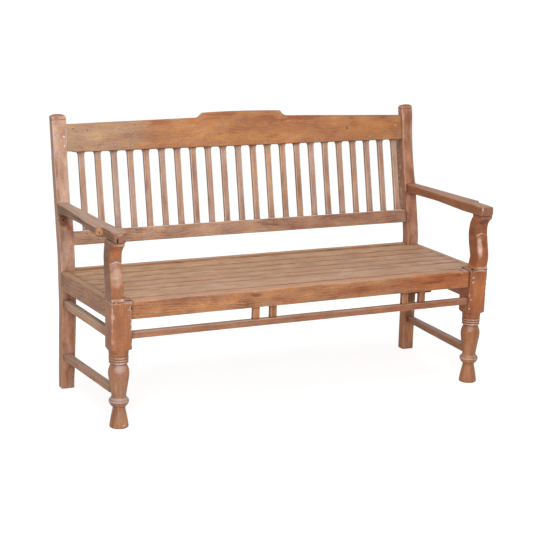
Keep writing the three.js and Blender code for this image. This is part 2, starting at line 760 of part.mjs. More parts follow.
// The front seat rail, with its upper front edge rounded over.
function frontRail() {
  const outline = new THREE.Shape();
  outline.moveTo(frontInset, frontRailBottom);
  outline.lineTo(frontRailRear, frontRailBottom);
  outline.lineTo(frontRailRear, seatHeight);
  outline.lineTo(frontInset + frontRailRounding, seatHeight);
  outline.absarc(
    frontInset + frontRailRounding, seatHeight - frontRailRounding, frontRailRounding,
    Math.PI / 2, Math.PI, false);
  outline.closePath();
  const half = legInner - fitGap;
  const geometry = new THREE.ExtrudeGeometry(
    outline, { depth: 2 * half, bevelEnabled: false, curveSegments: roundingSteps });
  const rail = solidOf(geometry.applyMatrix4(sideView).translate(-half, 0, 0));
  return carved(joined(rail, ...bothSides(tenons.frontRail).map(box)), [
    ...bearers.map((bearer) => mortise(bearerTenons(bearer).front)),
    ...spacerPlaces.map((x) => mortise(spacerTenons(x).top)),
    ...drilled(bothPegs(frontPegs)),
  ]);
}

function rearRail() {
  const rail = box({
    x: around(0, 2 * (postInner - fitGap)),
    y: [rearRailFront, rearRailFront + rearRailThickness],
    z: [rearRailBottom, rearRailTop],
  });
  const whole = joined(rail, ...bothSides(tenons.rearRail).map(box));
  return carved(whole, bearers.map((bearer) => mortise(bearerTenons(bearer).rear)));
}

// Short spacers between the front rail and the front stretcher.
const spacerPlaces = spacerPlaceShares.map((share) => share * legInner);
const spacerY = around(frontInset + frontStretcherThickness / 2, spacerThickness);

function spacerTenons(x) {
  const limits = {
    x: around(x, spacerTenonWidth),
    y: around(frontInset + frontStretcherThickness / 2, spacerTenonThickness),
  };
  return {
    foot: { ...limits, z: [frontStretcherTop - spacerTenon, frontStretcherTop + overrun] },
    top: { ...limits, z: [frontRailBottom - overrun, frontRailBottom + spacerTenon] },
  };
}

function spacer(x) {
  const body = box({
    x: around(x, spacerWidth), y: spacerY, z: [frontStretcherTop + fitGap, frontRailBottom - fitGap],
  });
  return joined(body, ...Object.values(spacerTenons(x)).map(box));
}

function frontStretcher() {
  const body = box({
    x: around(0, 2 * (legInner - fitGap)),
    y: [frontInset, frontInset + frontStretcherThickness],
    z: [frontStretcherBottom, frontStretcherTop],
  });
  const whole = joined(body, ...bothSides(tenons.frontStretcher).map(box));
  return carved(whole, spacerPlaces.map((x) => mortise(spacerTenons(x).foot)));
}

function sideStretcher(lift) {
  const plan = sidePlan(
    (sideRailThickness - sideStretcherThickness) / 2, sideStretcherThickness,
    legDepth + fitGap, frameDepth - fitGap);
  const body = planPrism(plan, ...stretcherHeights(lift));
  return joined(body, ...Object.values(sideStretcherTenons(lift)).map(box));
}

// The low stretcher is let whole into the turning of the front leg.
function lowStretcher() {
  const plan = sidePlan(
    (sideRailThickness - lowStretcherWidth) / 2, lowStretcherWidth,
    legAxisY + lowStretcherBite, frameDepth - fitGap);
  const body = planPrism(plan, lowStretcherBottom, lowStretcherTop);
  return joined(body, box(tenons.lowStretcherRear));
}

// The back's slats and rails, in the back's own frame.
const slatPlaces = Array.from({ length: slatCount }, (_, i) => firstSlat + i * slatPitch);
const backRailY = [backRailInset, backRailInset + backRailThickness];
const slatLimits = (x) => ({
  x: around(x, slatWidth),
  y: around(backRailMiddle, slatThickness),
  z: [lowerRailTop - slatTenon, crestBottom + slatTenon],
});

// Front outline of the crest rail: a raised centre, with a hollow leading down to each shoulder.
const crestCorner = (x, height) => new THREE.Vector2(x, crestBottom + height);

function crestEdge({ end, shoulder: foot, panelHalf, hollowRun, hollowShare }) {
  const half = postInner - fitGap;
  const hollow = new THREE.QuadraticBezierCurve(
    crestCorner(panelHalf + hollowRun, foot),
    crestCorner(panelHalf + hollowShare * hollowRun, foot),
    crestCorner(panelHalf, crestPanelHeight));
  return [crestCorner(half, 0), crestCorner(half, end), ...hollow.getPoints(roundingSteps)];
}

function crestOutline() {
  const leftEdge = crestEdge(crestLeft).map(({ x, y }) => new THREE.Vector2(-x, y)).reverse();
  const outline = new THREE.Shape(crestEdge(crestRight));
  const peak = crestCorner(0, 2 * crestMiddleHeight - crestPanelHeight);
  outline.quadraticCurveTo(peak.x, peak.y, leftEdge[0].x, leftEdge[0].y);
  leftEdge.slice(1).forEach(({ x, y }) => outline.lineTo(x, y));
  outline.closePath();
  return outline;
}

function crestRail() {
  const geometry = new THREE.ExtrudeGeometry(
    crestOutline(), { depth: backRailThickness, bevelEnabled: false, curveSegments: roundingSteps });
  geometry.applyMatrix4(frontView).translate(0, backRailInset + backRailThickness, 0);
  const whole = joined(solidOf(geometry), ...bothSides(backTenons.crest).map(box));
  return carved(whole, [
    ...slatPlaces.map((x) => mortise(slatLimits(x))),
    ...drilled(bothPegs(crestPegs)),
  ]);
}

function lowerBackRail() {
  const body = box({
    x: around(0, 2 * (postInner - fitGap)), y: backRailY, z: [lowerRailRise, lowerRailTop],
  });
  const whole = joined(body, ...bothSides(backTenons.lowerRail).map(box));
  return carved(whole, slatPlaces.map((x) => mortise(slatLimits(x))));
}

const numbered = (name, i) => `${name}_${String(i + 1).padStart(2, '0')}`;
const at = (x, y, z) => new THREE.Vector3(x, y, z);

// The two sides
addPair(bench, 'rear_post', rearPost, at((postOuter + postInner) / 2, frameDepth, 0), rubbedTeak);
addPair(bench, 'front_leg', frontLeg, at(legAxisX, legAxisY, 0), redTeak);
addPair(bench, 'arm', arm, at(legAxisX, legAxisY, armTop), greyTeak);

// The back
addPiece(backFrame, 'crest_rail', geometryOf(crestRail()), at(0, 0, crestBottom), goldenTeak);
addPiece(backFrame, 'lower_back_rail', geometryOf(lowerBackRail()), at(0, 0, lowerRailRise), goldenTeak);
slatPlaces.forEach((x, i) => {
  const slat = boxGeometry(slatLimits(x));
  addPiece(backFrame, numbered('back_slat', i), slat, at(x, 0, lowerRailTop), rubbedTeak);
});
bothPegs(crestPegs).forEach((place, i) => {
  addPiece(backFrame, numbered('crest_peg', i), geometryOf(peg(place)), place, pegWood);
});

// The seat
addPiece(seat, 'front_seat_rail', geometryOf(frontRail()), at(0, frontInset, seatHeight), goldenTeak);
addPiece(seat, 'rear_seat_rail', geometryOf(rearRail()), at(0, rearRailFront, seatHeight), greyTeak);
addPair(seat, 'side_seat_rail', sideRail, at(sideOuter(legDepth), legDepth, seatHeight), rubbedTeak);
boards.forEach((board, i) => {
  const geometry = geometryOf(seatBoard(board));
  addPiece(seat, numbered('seat_board', i), geometry, at(0, board.front, seatHeight), greyTeak);
});
bearers.forEach((bearer, i) => {
  const geometry = geometryOf(seatBearer(bearer));
  addPiece(seat, numbered('seat_bearer', i), geometry, at(bearer.x, frontRailRear, housingFloor), redTeak);
});
bothPegs(frontPegs).forEach((place, i) => {
  addPiece(seat, numbered('front_peg', i), geometryOf(peg(place)), place, pegWood);
});

// The underframe
addPiece(underframe, 'front_stretcher', geometryOf(frontStretcher()),
  at(0, frontInset, frontStretcherTop), redTeak);
spacerPlaces.forEach((x, i) => {
  addPiece(underframe, numbered('front_spacer', i), geometryOf(spacer(x)),
    at(x, frontInset, frontStretcherTop), redTeak);
});
addPair(underframe, 'side_stretcher', sideStretcher,
  at(sideOuter(legDepth), legDepth, sideStretcherBottom), rubbedTeak);
addPair(underframe, 'low_stretcher', lowStretcher,
  at(sideOuter(legDepth), legDepth, lowStretcherTop), rubbedTeak);

// The origin goes to the middle of the footprint.
const reach = new THREE.Box3().setFromObject(bench);
bench.position.y = -(reach.min.y + reach.max.y) / 2;

export default bench;
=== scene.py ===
"""Looks of a long hardwood bench with a slatted back, built around its measured frame.

Every timber is lofted along its grain through a row of cross-sections with worn corners and slightly
uneven, hand-worked faces. Each point of it carries what the finishes read: where it lies in the
timber, how near it is to a worn corner, to a sawn end and to a joint. All lengths are metres, +X runs
to the right along the bench as seen from the front, +Y to the rear and +Z up.
"""

import logging
import math
from collections.abc import Callable, Sequence
from dataclasses import dataclass, field
from enum import Enum

import bmesh
import bpy
from mathutils import Matrix, Vector, noise


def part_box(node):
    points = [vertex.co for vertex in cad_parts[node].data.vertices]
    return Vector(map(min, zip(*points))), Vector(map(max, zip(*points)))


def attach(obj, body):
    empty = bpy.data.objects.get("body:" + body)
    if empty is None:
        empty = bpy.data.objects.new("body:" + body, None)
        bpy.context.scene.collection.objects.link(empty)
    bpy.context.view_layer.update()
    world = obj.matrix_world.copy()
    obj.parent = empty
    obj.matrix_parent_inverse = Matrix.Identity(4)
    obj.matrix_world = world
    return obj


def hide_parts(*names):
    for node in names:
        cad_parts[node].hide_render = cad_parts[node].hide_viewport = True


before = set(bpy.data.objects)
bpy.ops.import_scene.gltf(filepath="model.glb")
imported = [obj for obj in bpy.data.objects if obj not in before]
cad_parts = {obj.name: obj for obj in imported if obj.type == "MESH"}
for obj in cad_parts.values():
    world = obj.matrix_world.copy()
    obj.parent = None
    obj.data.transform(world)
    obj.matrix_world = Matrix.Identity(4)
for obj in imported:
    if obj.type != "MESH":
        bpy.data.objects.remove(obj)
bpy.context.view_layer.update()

log = logging.getLogger("bench")

BODY = "root"
FIT_GAP = 0.0003  # left between two pieces that meet
SMALLEST_ROUNDING = 0.0002
WELL_WORN = 0.002  # rounding from which a corner shows all of its wear
JOINT_FADE = 0.004  # over which the dirt and painted shade beside a joint thin out
HALVINGS = 24  # of a stretch, to find a place on a curve
STEP = 0.012  # the usual distance between two cross-sections of a timber
RAIL_SET_BACK = 0.003  # from the leg blocks' front faces to the front rail's
FRONT_TO_POST = 0.5035  # from the leg blocks' front faces to the posts'
BLOCK_DEPTH = 0.067
SEAT_TO_BEND = 0.0397
RAKE = math.radians(11.35)
ARM_RISE = 0.240  # from the seat to the top of the arms
ARM_THICKNESS = 0.036  # over the supports
RIGHT_ARM_LIFT = 0.0035  # how much higher the right arm lies at its front
SIDE_RAIL_THICKNESS = 0.040
PORE_COLOUR = 0x5A3A28
# dirt beside joints, and painted shade wherever the joint value carries it
GRIME_AND_SHADE_COLOUR = 0x3E2A20
SUNK_COLOUR = 0x9A6C50  # of a head that has gone the colour of the wood
GAP_SHADE_COLOUR = 0x5C3E2E  # painted shade of the gap round a head

Value = float | tuple[float, ...] | bpy.types.NodeSocket
Sockets = bpy.types.bpy_prop_collection
Place = Callable[[float, float, float], Vector]
Ring = list[tuple[Vector, Vector, float]]  # points on the bench and in the timber, and their edge values


class Slot(Enum):
    """The material slots of the part's record."""

    CREST = "crest_teak"
    RAIL = "rail_teak"
    LEG = "leg_teak"
    POST = "post_teak"
    SLAT = "slat_teak"
    SEAT = "seat_teak"
    ARM = "arm_teak"
    STRETCHER = "stretcher_teak"
    PEG = "peg_wood"
    IRON = "old_iron"


class End(Enum):
    """How the end of a timber is left."""

    BUTT = "butt"  # square, against another piece
    WORN = "worn"  # in sight, its edges softened
    OPEN = "open"  # in sight and already shaped by its own sections


class Side(Enum):
    """The two ends of the bench, and the sign of their X."""

    RIGHT = 1
    LEFT = -1

    @property
    def word(self) -> str:
        """The side's name as the nodes use it."""
        return self.name.lower()


def srgb(code: int) -> tuple[float, float, float, float]:
    """Turns a colour code into linear light.

    Args:
        code: The colour as 0xRRGGBB.

    Returns:
        Red, green, blue and an alpha of one.
    """
    levels = [(code >> shift & 255) / 255 for shift in (16, 8, 0)]
    linear = [x / 12.92 if x <= 0.04045 else ((x + 0.055) / 1.055) ** 2.4 for x in levels]
    return (*linear, 1.0)


def blend(low: float, high: float, share: float) -> float:
    """The value at a share of the way from low to high."""
    return low + (high - low) * share


def ease(low: float, high: float, value: float) -> float:
    """Rises smoothly from nought at low to one at high."""
    t = min(1.0, max(0.0, (value - low) / (high - low)))
    return t * t * (3 - 2 * t)


def spaced(start: float, stop: float, step: float) -> list[float]:
    """Evenly spaced values with both ends.

    Args:
        start: The first value.
        stop: The last value.
        step: The longest distance between two neighbours.

    Returns:
        The values, from start to stop.
    """
    count = max(1, math.ceil(abs(stop - start) / step))
    return [blend(start, stop, i / count) for i in range(count + 1)]


def smooth_row(points: Sequence[tuple[float, ...]], steps: int) -> list[tuple[float, ...]]:
    """Runs a smooth curve through a row of points.

    Args:
        points: The points, each with the same number of values.
        steps: How many points to make for each stretch between two of them.

    Returns:
        The points of the curve, the given ones among them.
    """
    padded = [points[0], *points, points[-1]]
    made = []
    for i in range(len(points) - 1):
        a, b, c, d = padded[i : i + 4]
        for k in range(steps):
            t = k / steps
            made.append(tuple(
                0.5 * (2 * q + (r - p) * t + (2 * p - 5 * q + 4 * r - s) * t * t
                       + (3 * q - p - 3 * r + s) * t ** 3)
                for p, q, r, s in zip(a, b, c, d)))
    made.append(tuple(points[-1]))
    return made


def value_along(row: Sequence[tuple[float, ...]], at: float, column: int) -> float:
    """Reads a row of points, sorted by their first value, at a place between two of them.

    Args:
        row: The points.
        at: The first value to look up.
        column: Which of the other values to give.

    Returns:
        The value there, or the nearest end's value.
    """
    if at <= row[0][0]:
        return row[0][column]
    for low, high in zip(row, row[1:]):
        if at <= high[0]:
            return blend(low[column], high[column], (at - low[0]) / max(high[0] - low[0], 1e-9))
    return row[-1][column]


@dataclass(frozen=True)
class Corner:
    """A corner of a cross-section.

    Attributes:
        across: Its place across the timber.
        up: Its place along the cross-section's other axis.
        worn: How far its edge is worn round.
    """

    across: float
    up: float
    worn: float


@dataclass(frozen=True)
class Spot:
    """A point of a cross-section's outline.

    Attributes:
        across: Its place across the timber.
        up: Its place along the cross-section's other axis.
        edge: One on a worn corner and nought on a flat.
    """

    across: float
    up: float
    edge: float


@dataclass(frozen=True)
class Grid:
    """How finely an outline is divided.

    Attributes:
        arc: Steps round each worn corner.
        flat: Points on each flat, besides the two that hold its rims.
        rim: How far the look of a corner reaches onto the flats beside it.
    """

    arc: int = 3
    flat: int = 1
    rim: float = 0.003


@dataclass(frozen=True)
class Nick:
    """A dent or a chip in a timber.

    Attributes:
        place: The middle of it.
        radius: How far it reaches.
        depth: How deep it is.
    """

    place: Vector
    radius: float
    depth: float

    def bite(self, point: Vector) -> float:
        """How deep the dent is at a point."""
        share = (point - self.place).length / self.radius
        return self.depth * (1 - share * share) ** 2 if share < 1 else 0.0


def along_bench(x: float, y: float, z: float) -> Vector:
    """The place of a timber that lies straight along the bench."""
    return Vector((x, y, z))


def rectangle(across: tuple[float, float], up: tuple[float, float], worn: float) -> list[Corner]:
    """A rectangular cross-section with its four corners worn alike."""
    return [Corner(a, u, worn) for a, u in (
        (across[0], up[0]), (across[1], up[0]), (across[1], up[1]), (across[0], up[1]))]


def outline(corners: Sequence[Corner], wear: float, grid: Grid) -> list[Spot]:
    """Rounds the corners of a cross-section and divides its flats.

    Args:
        corners: The corners, in order round the outline.
        wear: A factor on every corner's rounding.
        grid: How finely to divide it.

    Returns:
        The points of the outline, as many for any section with as many corners.
    """
    places = [Vector((c.across, c.up)) for c in corners]
    count = len(corners)

    def tangents(i: int) -> tuple[Vector, Vector]:
        """Where the rounding of a corner starts and stops."""
        here = places[i]
        before = places[i - 1] - here
        after = places[(i + 1) % count] - here
        reach = min(corners[i].worn * wear, 0.45 * before.length, 0.45 * after.length)
        reach = max(reach, SMALLEST_ROUNDING)
        return here + before.normalized() * reach, here + after.normalized() * reach

    spots = []
    for i, here in enumerate(places):
        start, stop = tangents(i)
        for k in range(grid.arc + 1):
            t = k / grid.arc
            point = start * (1 - t) ** 2 + here * 2 * t * (1 - t) + stop * t * t
            spots.append(Spot(point.x, point.y, (1 - abs(t - 0.5)) * min(1.0, corners[i].worn / WELL_WORN)))
        onward = tangents((i + 1) % count)[0] - stop
        rim = min(grid.rim / max(onward.length, 1e-6), 0.3)
        for k in range(grid.flat + 2):
            point = stop + onward * blend(rim, 1 - rim, k / (grid.flat + 1))
            spots.append(Spot(point.x, point.y, 0.0))
    return spots


def outward(spots: Sequence[Spot]) -> list[Vector]:
    """Finds which way is out of an outline.

    Args:
        spots: The points of the outline, in order.

    Returns:
        For each point the direction that points straight out there.
    """
    count = len(spots)
    area = sum(
        spots[i - 1].across * spots[i].up - spots[i].across * spots[i - 1].up for i in range(count))
    turn = 1 if area > 0 else -1
    directions = []
    for i in range(count):
        before, after = spots[i - 1], spots[(i + 1) % count]
        along = Vector((after.across - before.across, after.up - before.up))
        directions.append(Vector((along.y, -along.x)).normalized() * turn)
    return directions


@dataclass
class Timber:
    """A piece of wood lofted along its grain through a row of cross-sections.

    Attributes:
        node: The node of the frame that it stands for.
        slot: The record's slot for its finish.
        place: Turns a place along, across and up the timber into a point of the bench.
        section: Gives the corners of the cross-section at a place along it.
        stations: The places along it that get a cross-section.
        ends: How its two ends are left.
        grid: How finely its outline is divided.
        uneven: How deep the tool marks and hollows of its faces are.
        soften: How far a worn end's edges are rounded.
        tint: Its own leaning in colour, from minus one, greyer, to one, warmer.
        nicks: Dents and chips in it.
        boost: Further wear at a point over what its corners have, in places with a painted highlight; where
            it is negative, darkening: painted shade in most places, dirt in a few.
        cornered: How much of its corners' wear shows at a place along it.
        grimy: How much dirt and painted shade gather at its butt ends.
    """

    node: str
    slot: Slot
    place: Place
    section: Callable[[float], Sequence[Corner]]
    stations: Sequence[float]
    ends: tuple[End, End] = (End.BUTT, End.BUTT)
    grid: Grid = field(default_factory=Grid)
    uneven: float = 0.0005
    soften: float = 0.0025
    tint: float = 0.0
    nicks: tuple[Nick, ...] = ()
    boost: Callable[[float, float, float], float] | None = None
    cornered: Callable[[float], float] | None = None
    grimy: float = 1.0

    @property
    def seed(self) -> float:
        """A number of the timber's own, the same in each run."""
        return sum(ord(c) * (i + 3) for i, c in enumerate(self.node)) % 977 / 10

    def ring(self, at: float, inset: float) -> Ring:
        """Makes one cross-section.

        Args:
            at: Its place along the timber.
            inset: How far it is drawn in, at a softened end.

        Returns:
            For each point its place on the bench, its place in the timber and its edge value.
        """
        shift = self.seed
        wear = 1 + 0.45 * noise.noise(Vector((at * 11, shift, 0.5)))
        spots = outline(self.section(at), wear, self.grid)
        a_middle = (min(s.across for s in spots) + max(s.across for s in spots)) / 2
        u_middle = (min(s.up for s in spots) + max(s.up for s in spots)) / 2
        points = []
        for spot, out in zip(spots, outward(spots)):
            surface = self.place(at, spot.across, spot.up)
            broad = noise.noise(surface * 9 + Vector((shift, 0, 0)))
            fine = noise.noise(surface * 45 + Vector((0, shift, 0)))
            sink = inset + self.uneven * (0.7 + 0.5 * broad + 0.2 * fine)
            bite = sum(nick.bite(surface) for nick in self.nicks)
            sink += bite
            across = spot.across - out.x * sink
            up = spot.up - out.y * sink
            edge = spot.edge * (self.cornered(at) if self.cornered else 1.0)
            extra = self.boost(at, across, up) if self.boost else 0.0
            edge = max(edge, extra, min(bite / 0.0012, 1.0)) if extra >= 0 else extra
            inside = Vector((at, across - a_middle, up - u_middle))
            points.append((self.place(at, across, up), inside, edge))
        return points

    def rings(self) -> list[tuple[Ring, float, float]]:
        """Makes all the cross-sections.

        Returns:
            The cross-sections in order, each with its end and joint values.
        """
        first, last = self.stations[0], self.stations[-1]
        onward = self.soften if last > first else -self.soften
        # Place from a worn end and inset, as shares of the softening, and the end value.
        rounding = [(0.0, 2.2, 1.0), (0.0, 1.0, 1.0), (0.3, 0.3, 0.5)]
        before, after = [], []
        middle = list(self.stations)
        if self.ends[0] is End.WORN:
            before = [(first + onward * along, inset, end) for along, inset, end in rounding]
            middle[0] = first + onward
        if self.ends[1] is End.WORN:
            after = [(last - onward * along, inset, end) for along, inset, end in reversed(rounding)]
            middle[-1] = last - onward
        joints = [tip for tip, end in zip((first, last), self.ends) if end is End.BUTT]
        made = []
        for at, inset, end in (*before, *((at, 0.0, 0.0) for at in middle), *after):
            joint = max((math.exp(-abs(at - tip) / JOINT_FADE) for tip in joints), default=0.0)
            made.append((self.ring(at, inset * self.soften), end, joint * self.grimy))
        return made

    def build(self) -> bpy.types.Object:
        """Lofts the timber.

        Returns:
            The new object, in place and not yet dressed.
        """
        made = bmesh.new()
        edge_layer = made.verts.layers.float.new("edge")
        end_layer = made.verts.layers.float.new("sawn")
        joint_layer = made.verts.layers.float.new("joint")
        grain_layer = made.verts.layers.float_vector.new("grain")

        def add(point: Vector, inside: Vector, edge: float, end: float, joint: float) -> bmesh.types.BMVert:
            """Adds a point with what the finishes read there."""
            vert = made.verts.new(point)
            vert[edge_layer] = max(edge, 0.0)
            vert[end_layer] = end
            # A negative boost goes into the joint value: painted shade, and dirt in a few places.
            vert[joint_layer] = max(joint, -edge)
            vert[grain_layer] = inside
            return vert

        rows = []
        for points, end, joint in self.rings():
            rows.append([
                add(p, inside, 0.8 if 0 < end < 1 else edge, end, joint) for p, inside, edge in points])
        for lower, upper in zip(rows, rows[1:]):
            for i in range(len(lower)):
                made.faces.new((lower[i - 1], lower[i], upper[i], upper[i - 1]))
        for row, end in ((rows[0], self.ends[0]), (rows[-1], self.ends[1])):
            middle = sum((v.co for v in row), Vector()) / len(row)
            inside = sum((v[grain_layer] for v in row), Vector()) / len(row)
            hub = add(middle, inside, 0.0, 0.0 if end is End.OPEN else 1.0, 0.0)
            for i in range(len(row)):
                made.faces.new((row[i - 1], row[i], hub))
        piece = closed_piece(f"{self.node}_wood", made)
        for name, number in (("seed", self.seed), ("tint", self.tint)):
            layer = piece.data.attributes.new(name, "FLOAT", "POINT")
            layer.data.foreach_set("value", [number] * len(piece.data.vertices))
        return piece


def link(name: str, data: bpy.types.ID) -> bpy.types.Object:
    """Puts a mesh, lamp or camera into the scene.

    Args:
        name: The new object's name.
        data: The mesh, lamp or camera.

    Returns:
        The new object.
    """
    made = bpy.data.objects.new(name, data)
    bpy.context.scene.collection.objects.link(made)
    return made


def closed_piece(name: str, made: bmesh.types.BMesh) -> bpy.types.Object:
    """Turns a finished mesh into a smooth object whose faces point out.

    Args:
        name: The new object's name.
        made: The mesh, which is used up.

    Returns:
        The new object.
    """
    bmesh.ops.recalc_face_normals(made, faces=made.faces)
    for face in made.faces:
        face.smooth = True
    mesh = bpy.data.meshes.new(name)
    made.to_mesh(mesh)
    made.free()
    return link(name, mesh)


def settle(piece: bpy.types.Object, material: bpy.types.Material, slot: Slot, *nodes: str) -> None:
    """Dresses a finished piece and ties it to the frame.

    Args:
        piece: The piece, in place.
        material: Its finish.
        slot: The record's slot that the finish stands for.
        nodes: The nodes of the frame that the piece stands for.
    """
    piece.data.materials.append(material)
    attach(piece, BODY)
    if nodes:
        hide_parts(*nodes)
    log.info("%s: %d points, finish %s", piece.name, len(piece.data.vertices), slot.value)


class Wiring:
    """Adds nodes to one node tree and links values into them."""

    def __init__(self, tree: bpy.types.NodeTree) -> None:
        """Starts on a node tree."""
        self.tree = tree

    @classmethod
    def fresh(cls, owner: bpy.types.Material | bpy.types.World) -> "Wiring":
        """Starts on the emptied node tree of a material or a world.

        Args:
            owner: The material or world.

        Returns:
            The wiring of its tree.
        """
        owner.use_nodes = True
        owner.node_tree.nodes.clear()
        return cls(owner.node_tree)

    def node(self, kind: str, inputs: dict[int | str, Value], **settings: object) -> bpy.types.Node:
        """Adds a node.

        Args:
            kind: The node's type.
            inputs: What goes into its sockets, by name or number.
            settings: The node's own settings.

        Returns:
            The new node.
        """
        made = self.tree.nodes.new(kind)
        for name, setting in settings.items():
            setattr(made, name, setting)
        for key, value in inputs.items():
            socket = made.inputs[key]
            if isinstance(value, bpy.types.NodeSocket):
                self.tree.links.new(value, socket)
            else:
                socket.default_value = value
        return made

    def group(self, shared: "Effect", inputs: dict[str, Value]) -> bpy.types.Node:
        """Places a shared effect, with what goes into its sockets by their names."""
        return self.node("ShaderNodeGroup", inputs, node_tree=shared.tree())

    def math(self, operation: str, a: Value, b: Value = 0.0, clamp: bool = False) -> bpy.types.NodeSocket:
        """Adds a sum on one or two numbers and gives its result."""
        return self.node("ShaderNodeMath", {0: a, 1: b}, operation=operation, use_clamp=clamp).outputs[0]

    def vector(self, operation: str, a: Value, b: Value = (0, 0, 0)) -> bpy.types.Node:
        """Adds a sum on vectors."""
        return self.node("ShaderNodeVectorMath", {0: a, 1: b}, operation=operation)

    def stretched(self, place: Value, scale: Value) -> bpy.types.NodeSocket:
        """A place with each of its three values scaled."""
        return self.vector("MULTIPLY", place, scale).outputs[0]

    def noise(self, place: Value, scale: Value, seed: Value, detail: float) -> bpy.types.Node:
        """Adds a soft random pattern.

        Args:
            place: Where on the wood it is read.
            scale: How fine it is along each axis.
            seed: What tells one timber's pattern from another's.
            detail: How many finer layers it has.

        Returns:
            The new node.
        """
        inputs = {"Vector": self.stretched(place, scale), "W": seed, "Scale": 1.0, "Detail": detail}
        return self.node("ShaderNodeTexNoise", inputs, noise_dimensions="4D")

    def cloud(self, place: Value, scale: Value, seed: Value, detail: float) -> bpy.types.NodeSocket:
        """The shade of grey of a soft random pattern."""
        return self.noise(place, scale, seed, detail).outputs["Fac"]

    def grey(self, level: Value) -> bpy.types.NodeSocket:
        """The grey of a given level."""
        return self.node("ShaderNodeCombineColor", {0: level, 1: level, 2: level}).outputs[0]

    def spread(self, value: Value, low: float, high: float, start: float = 0.0,
               stop: float = 1.0) -> bpy.types.NodeSocket:
        """Maps a number smoothly from one range onto another.

        Args:
            value: The number.
            low: Where its own range starts.
            high: Where its own range stops.
            start: What low becomes.
            stop: What high becomes.

        Returns:
            The new number.
        """
        return self.node(
            "ShaderNodeMapRange", {0: value, 1: low, 2: high, 3: start, 4: stop},
            interpolation_type="SMOOTHSTEP").outputs[0]

    def mix(self, share: Value, a: Value, b: Value, way: str = "MIX") -> bpy.types.NodeSocket:
        """Mixes two colours."""
        return self.node(
            "ShaderNodeMix", {0: share, 6: a, 7: b}, data_type="RGBA", blend_type=way).outputs[2]


class Kind(Enum):
    """Kinds of socket that the shared effects have."""

    NUMBER = "NodeSocketFloat"
    COLOUR = "NodeSocketColor"
    VECTOR = "NodeSocketVector"


@dataclass(frozen=True)
class Effect:
    """A shader effect that the finishes share, which puts out a colour.

    Attributes:
        name: Its name.
        fill: Wires it up from its inputs and gives what goes to each output.
        colours: Names of its inputs that are colours.
        numbers: Names of its inputs that are numbers.
        vectors: Names of its inputs that are vectors.
        masks: Names of the numbers that it puts out besides its colour.
    """

    name: str
    fill: Callable[[Wiring, Sockets], dict[str, Value]]
    colours: tuple[str, ...]
    numbers: tuple[str, ...]
    vectors: tuple[str, ...]
    masks: tuple[str, ...] = ()

    def tree(self) -> bpy.types.NodeTree:
        """Builds the effect as a node group, once.

        Returns:
            The node group, the same one each time.
        """
        known = bpy.data.node_groups.get(self.name)
        if known:
            return known
        group = bpy.data.node_groups.new(self.name, "ShaderNodeTree")
        for way, kind, names in (
                ("INPUT", Kind.COLOUR, self.colours), ("INPUT", Kind.NUMBER, self.numbers),
                ("INPUT", Kind.VECTOR, self.vectors), ("OUTPUT", Kind.COLOUR, ("Colour",)),
                ("OUTPUT", Kind.NUMBER, self.masks)):
            for name in names:
                group.interface.new_socket(name, in_out=way, socket_type=kind.value)
        given = group.nodes.new("NodeGroupInput").outputs
        wiring = Wiring(group)
        wiring.node("NodeGroupOutput", self.fill(wiring, given))
        return group


def timber_figure(w: Wiring, given: Sockets) -> dict[str, Value]:
    """The figure of sawn wood: growth layers, streaks, cloudy patches, fine fibres and bright flecks.

    Args:
        w: Adds the nodes.
        given: The effect's inputs.

    Returns:
        What goes to its outputs.
    """
    grain, seed = given["Grain"], given["Seed"]
    slow = w.noise(grain, (5, 16, 16), seed, 2).outputs["Color"]
    drift = w.vector("SUBTRACT", slow, (0.5, 0.5, 0.5)).outputs[0]
    sway = w.node("ShaderNodeVectorMath", {0: drift, 3: given["Wave"]}, operation="SCALE").outputs[0]
    bent = w.vector("ADD", grain, w.stretched(sway, (0, 1, 1))).outputs[0]
    aside = w.math("MULTIPLY", w.math("SINE", seed), 0.05)
    heart = w.node("ShaderNodeCombineXYZ", {0: 0.0, 1: aside, 2: 0.07}).outputs[0]
    from_heart = w.stretched(w.vector("SUBTRACT", bent, heart).outputs[0], (0.07, 1, 1))
    radius = w.vector("LENGTH", from_heart).outputs["Value"]
    layers = w.math("SINE", w.math("DIVIDE", radius, given["Pitch"]))
    streak = w.cloud(bent, (7, 170, 170), seed, 3)
    clouds = w.cloud(bent, (11, 26, 26), seed, 3)
    fibre = w.cloud(grain, (70, 1100, 1100), seed, 2)
    speckle = w.cloud(grain, (260, 620, 620), seed, 1)
    mottle = w.cloud(grain, (34, 70, 70), seed, 3)
    fleck = w.cloud(grain, (150, 330, 330), seed, 2)
    level = w.math("ADD", w.math("MULTIPLY", streak, given["Streaks"]),
                   w.math("MULTIPLY", clouds, w.math("SUBTRACT", 1.0, given["Streaks"])))
    level = w.math("ADD", level, w.math("MULTIPLY", layers, given["Layering"]))
    colour = w.mix(w.spread(level, 0.3, 0.5), given["Dark"], given["Mid"])
    colour = w.mix(w.spread(level, 0.5, 0.7), colour, given["Pale"])
    thread = w.spread(fibre, 0.3, 0.7, 0.92, 1.06)
    thread = w.math("MULTIPLY", thread, w.spread(speckle, 0.25, 0.75, 0.86, 1.12))
    colour = w.mix(1.0, colour, w.grey(thread), "MULTIPLY")
    hue = w.mix(w.spread(mottle, 0.36, 0.64), (1.07, 1.0, 0.85, 1), (0.95, 0.99, 1.11, 1))
    colour = w.mix(1.0, colour, hue, "MULTIPLY")
    flecked = w.math("MULTIPLY", w.spread(fleck, 0.6, 0.7), given["Flecks"])
    colour = w.mix(flecked, colour, given["Fleck colour"])
    height = w.math("ADD", w.math("MULTIPLY", fibre, 0.6), w.math("MULTIPLY", streak, 0.4))
    return {"Colour": colour, "Height": height, "Level": level}


TIMBER_FIGURE = Effect(
    "Timber figure", timber_figure,
    colours=("Pale", "Mid", "Dark", "Fleck colour"),
    numbers=("Seed", "Wave", "Pitch", "Layering", "Streaks", "Flecks"), vectors=("Grain",),
    masks=("Height", "Level"))


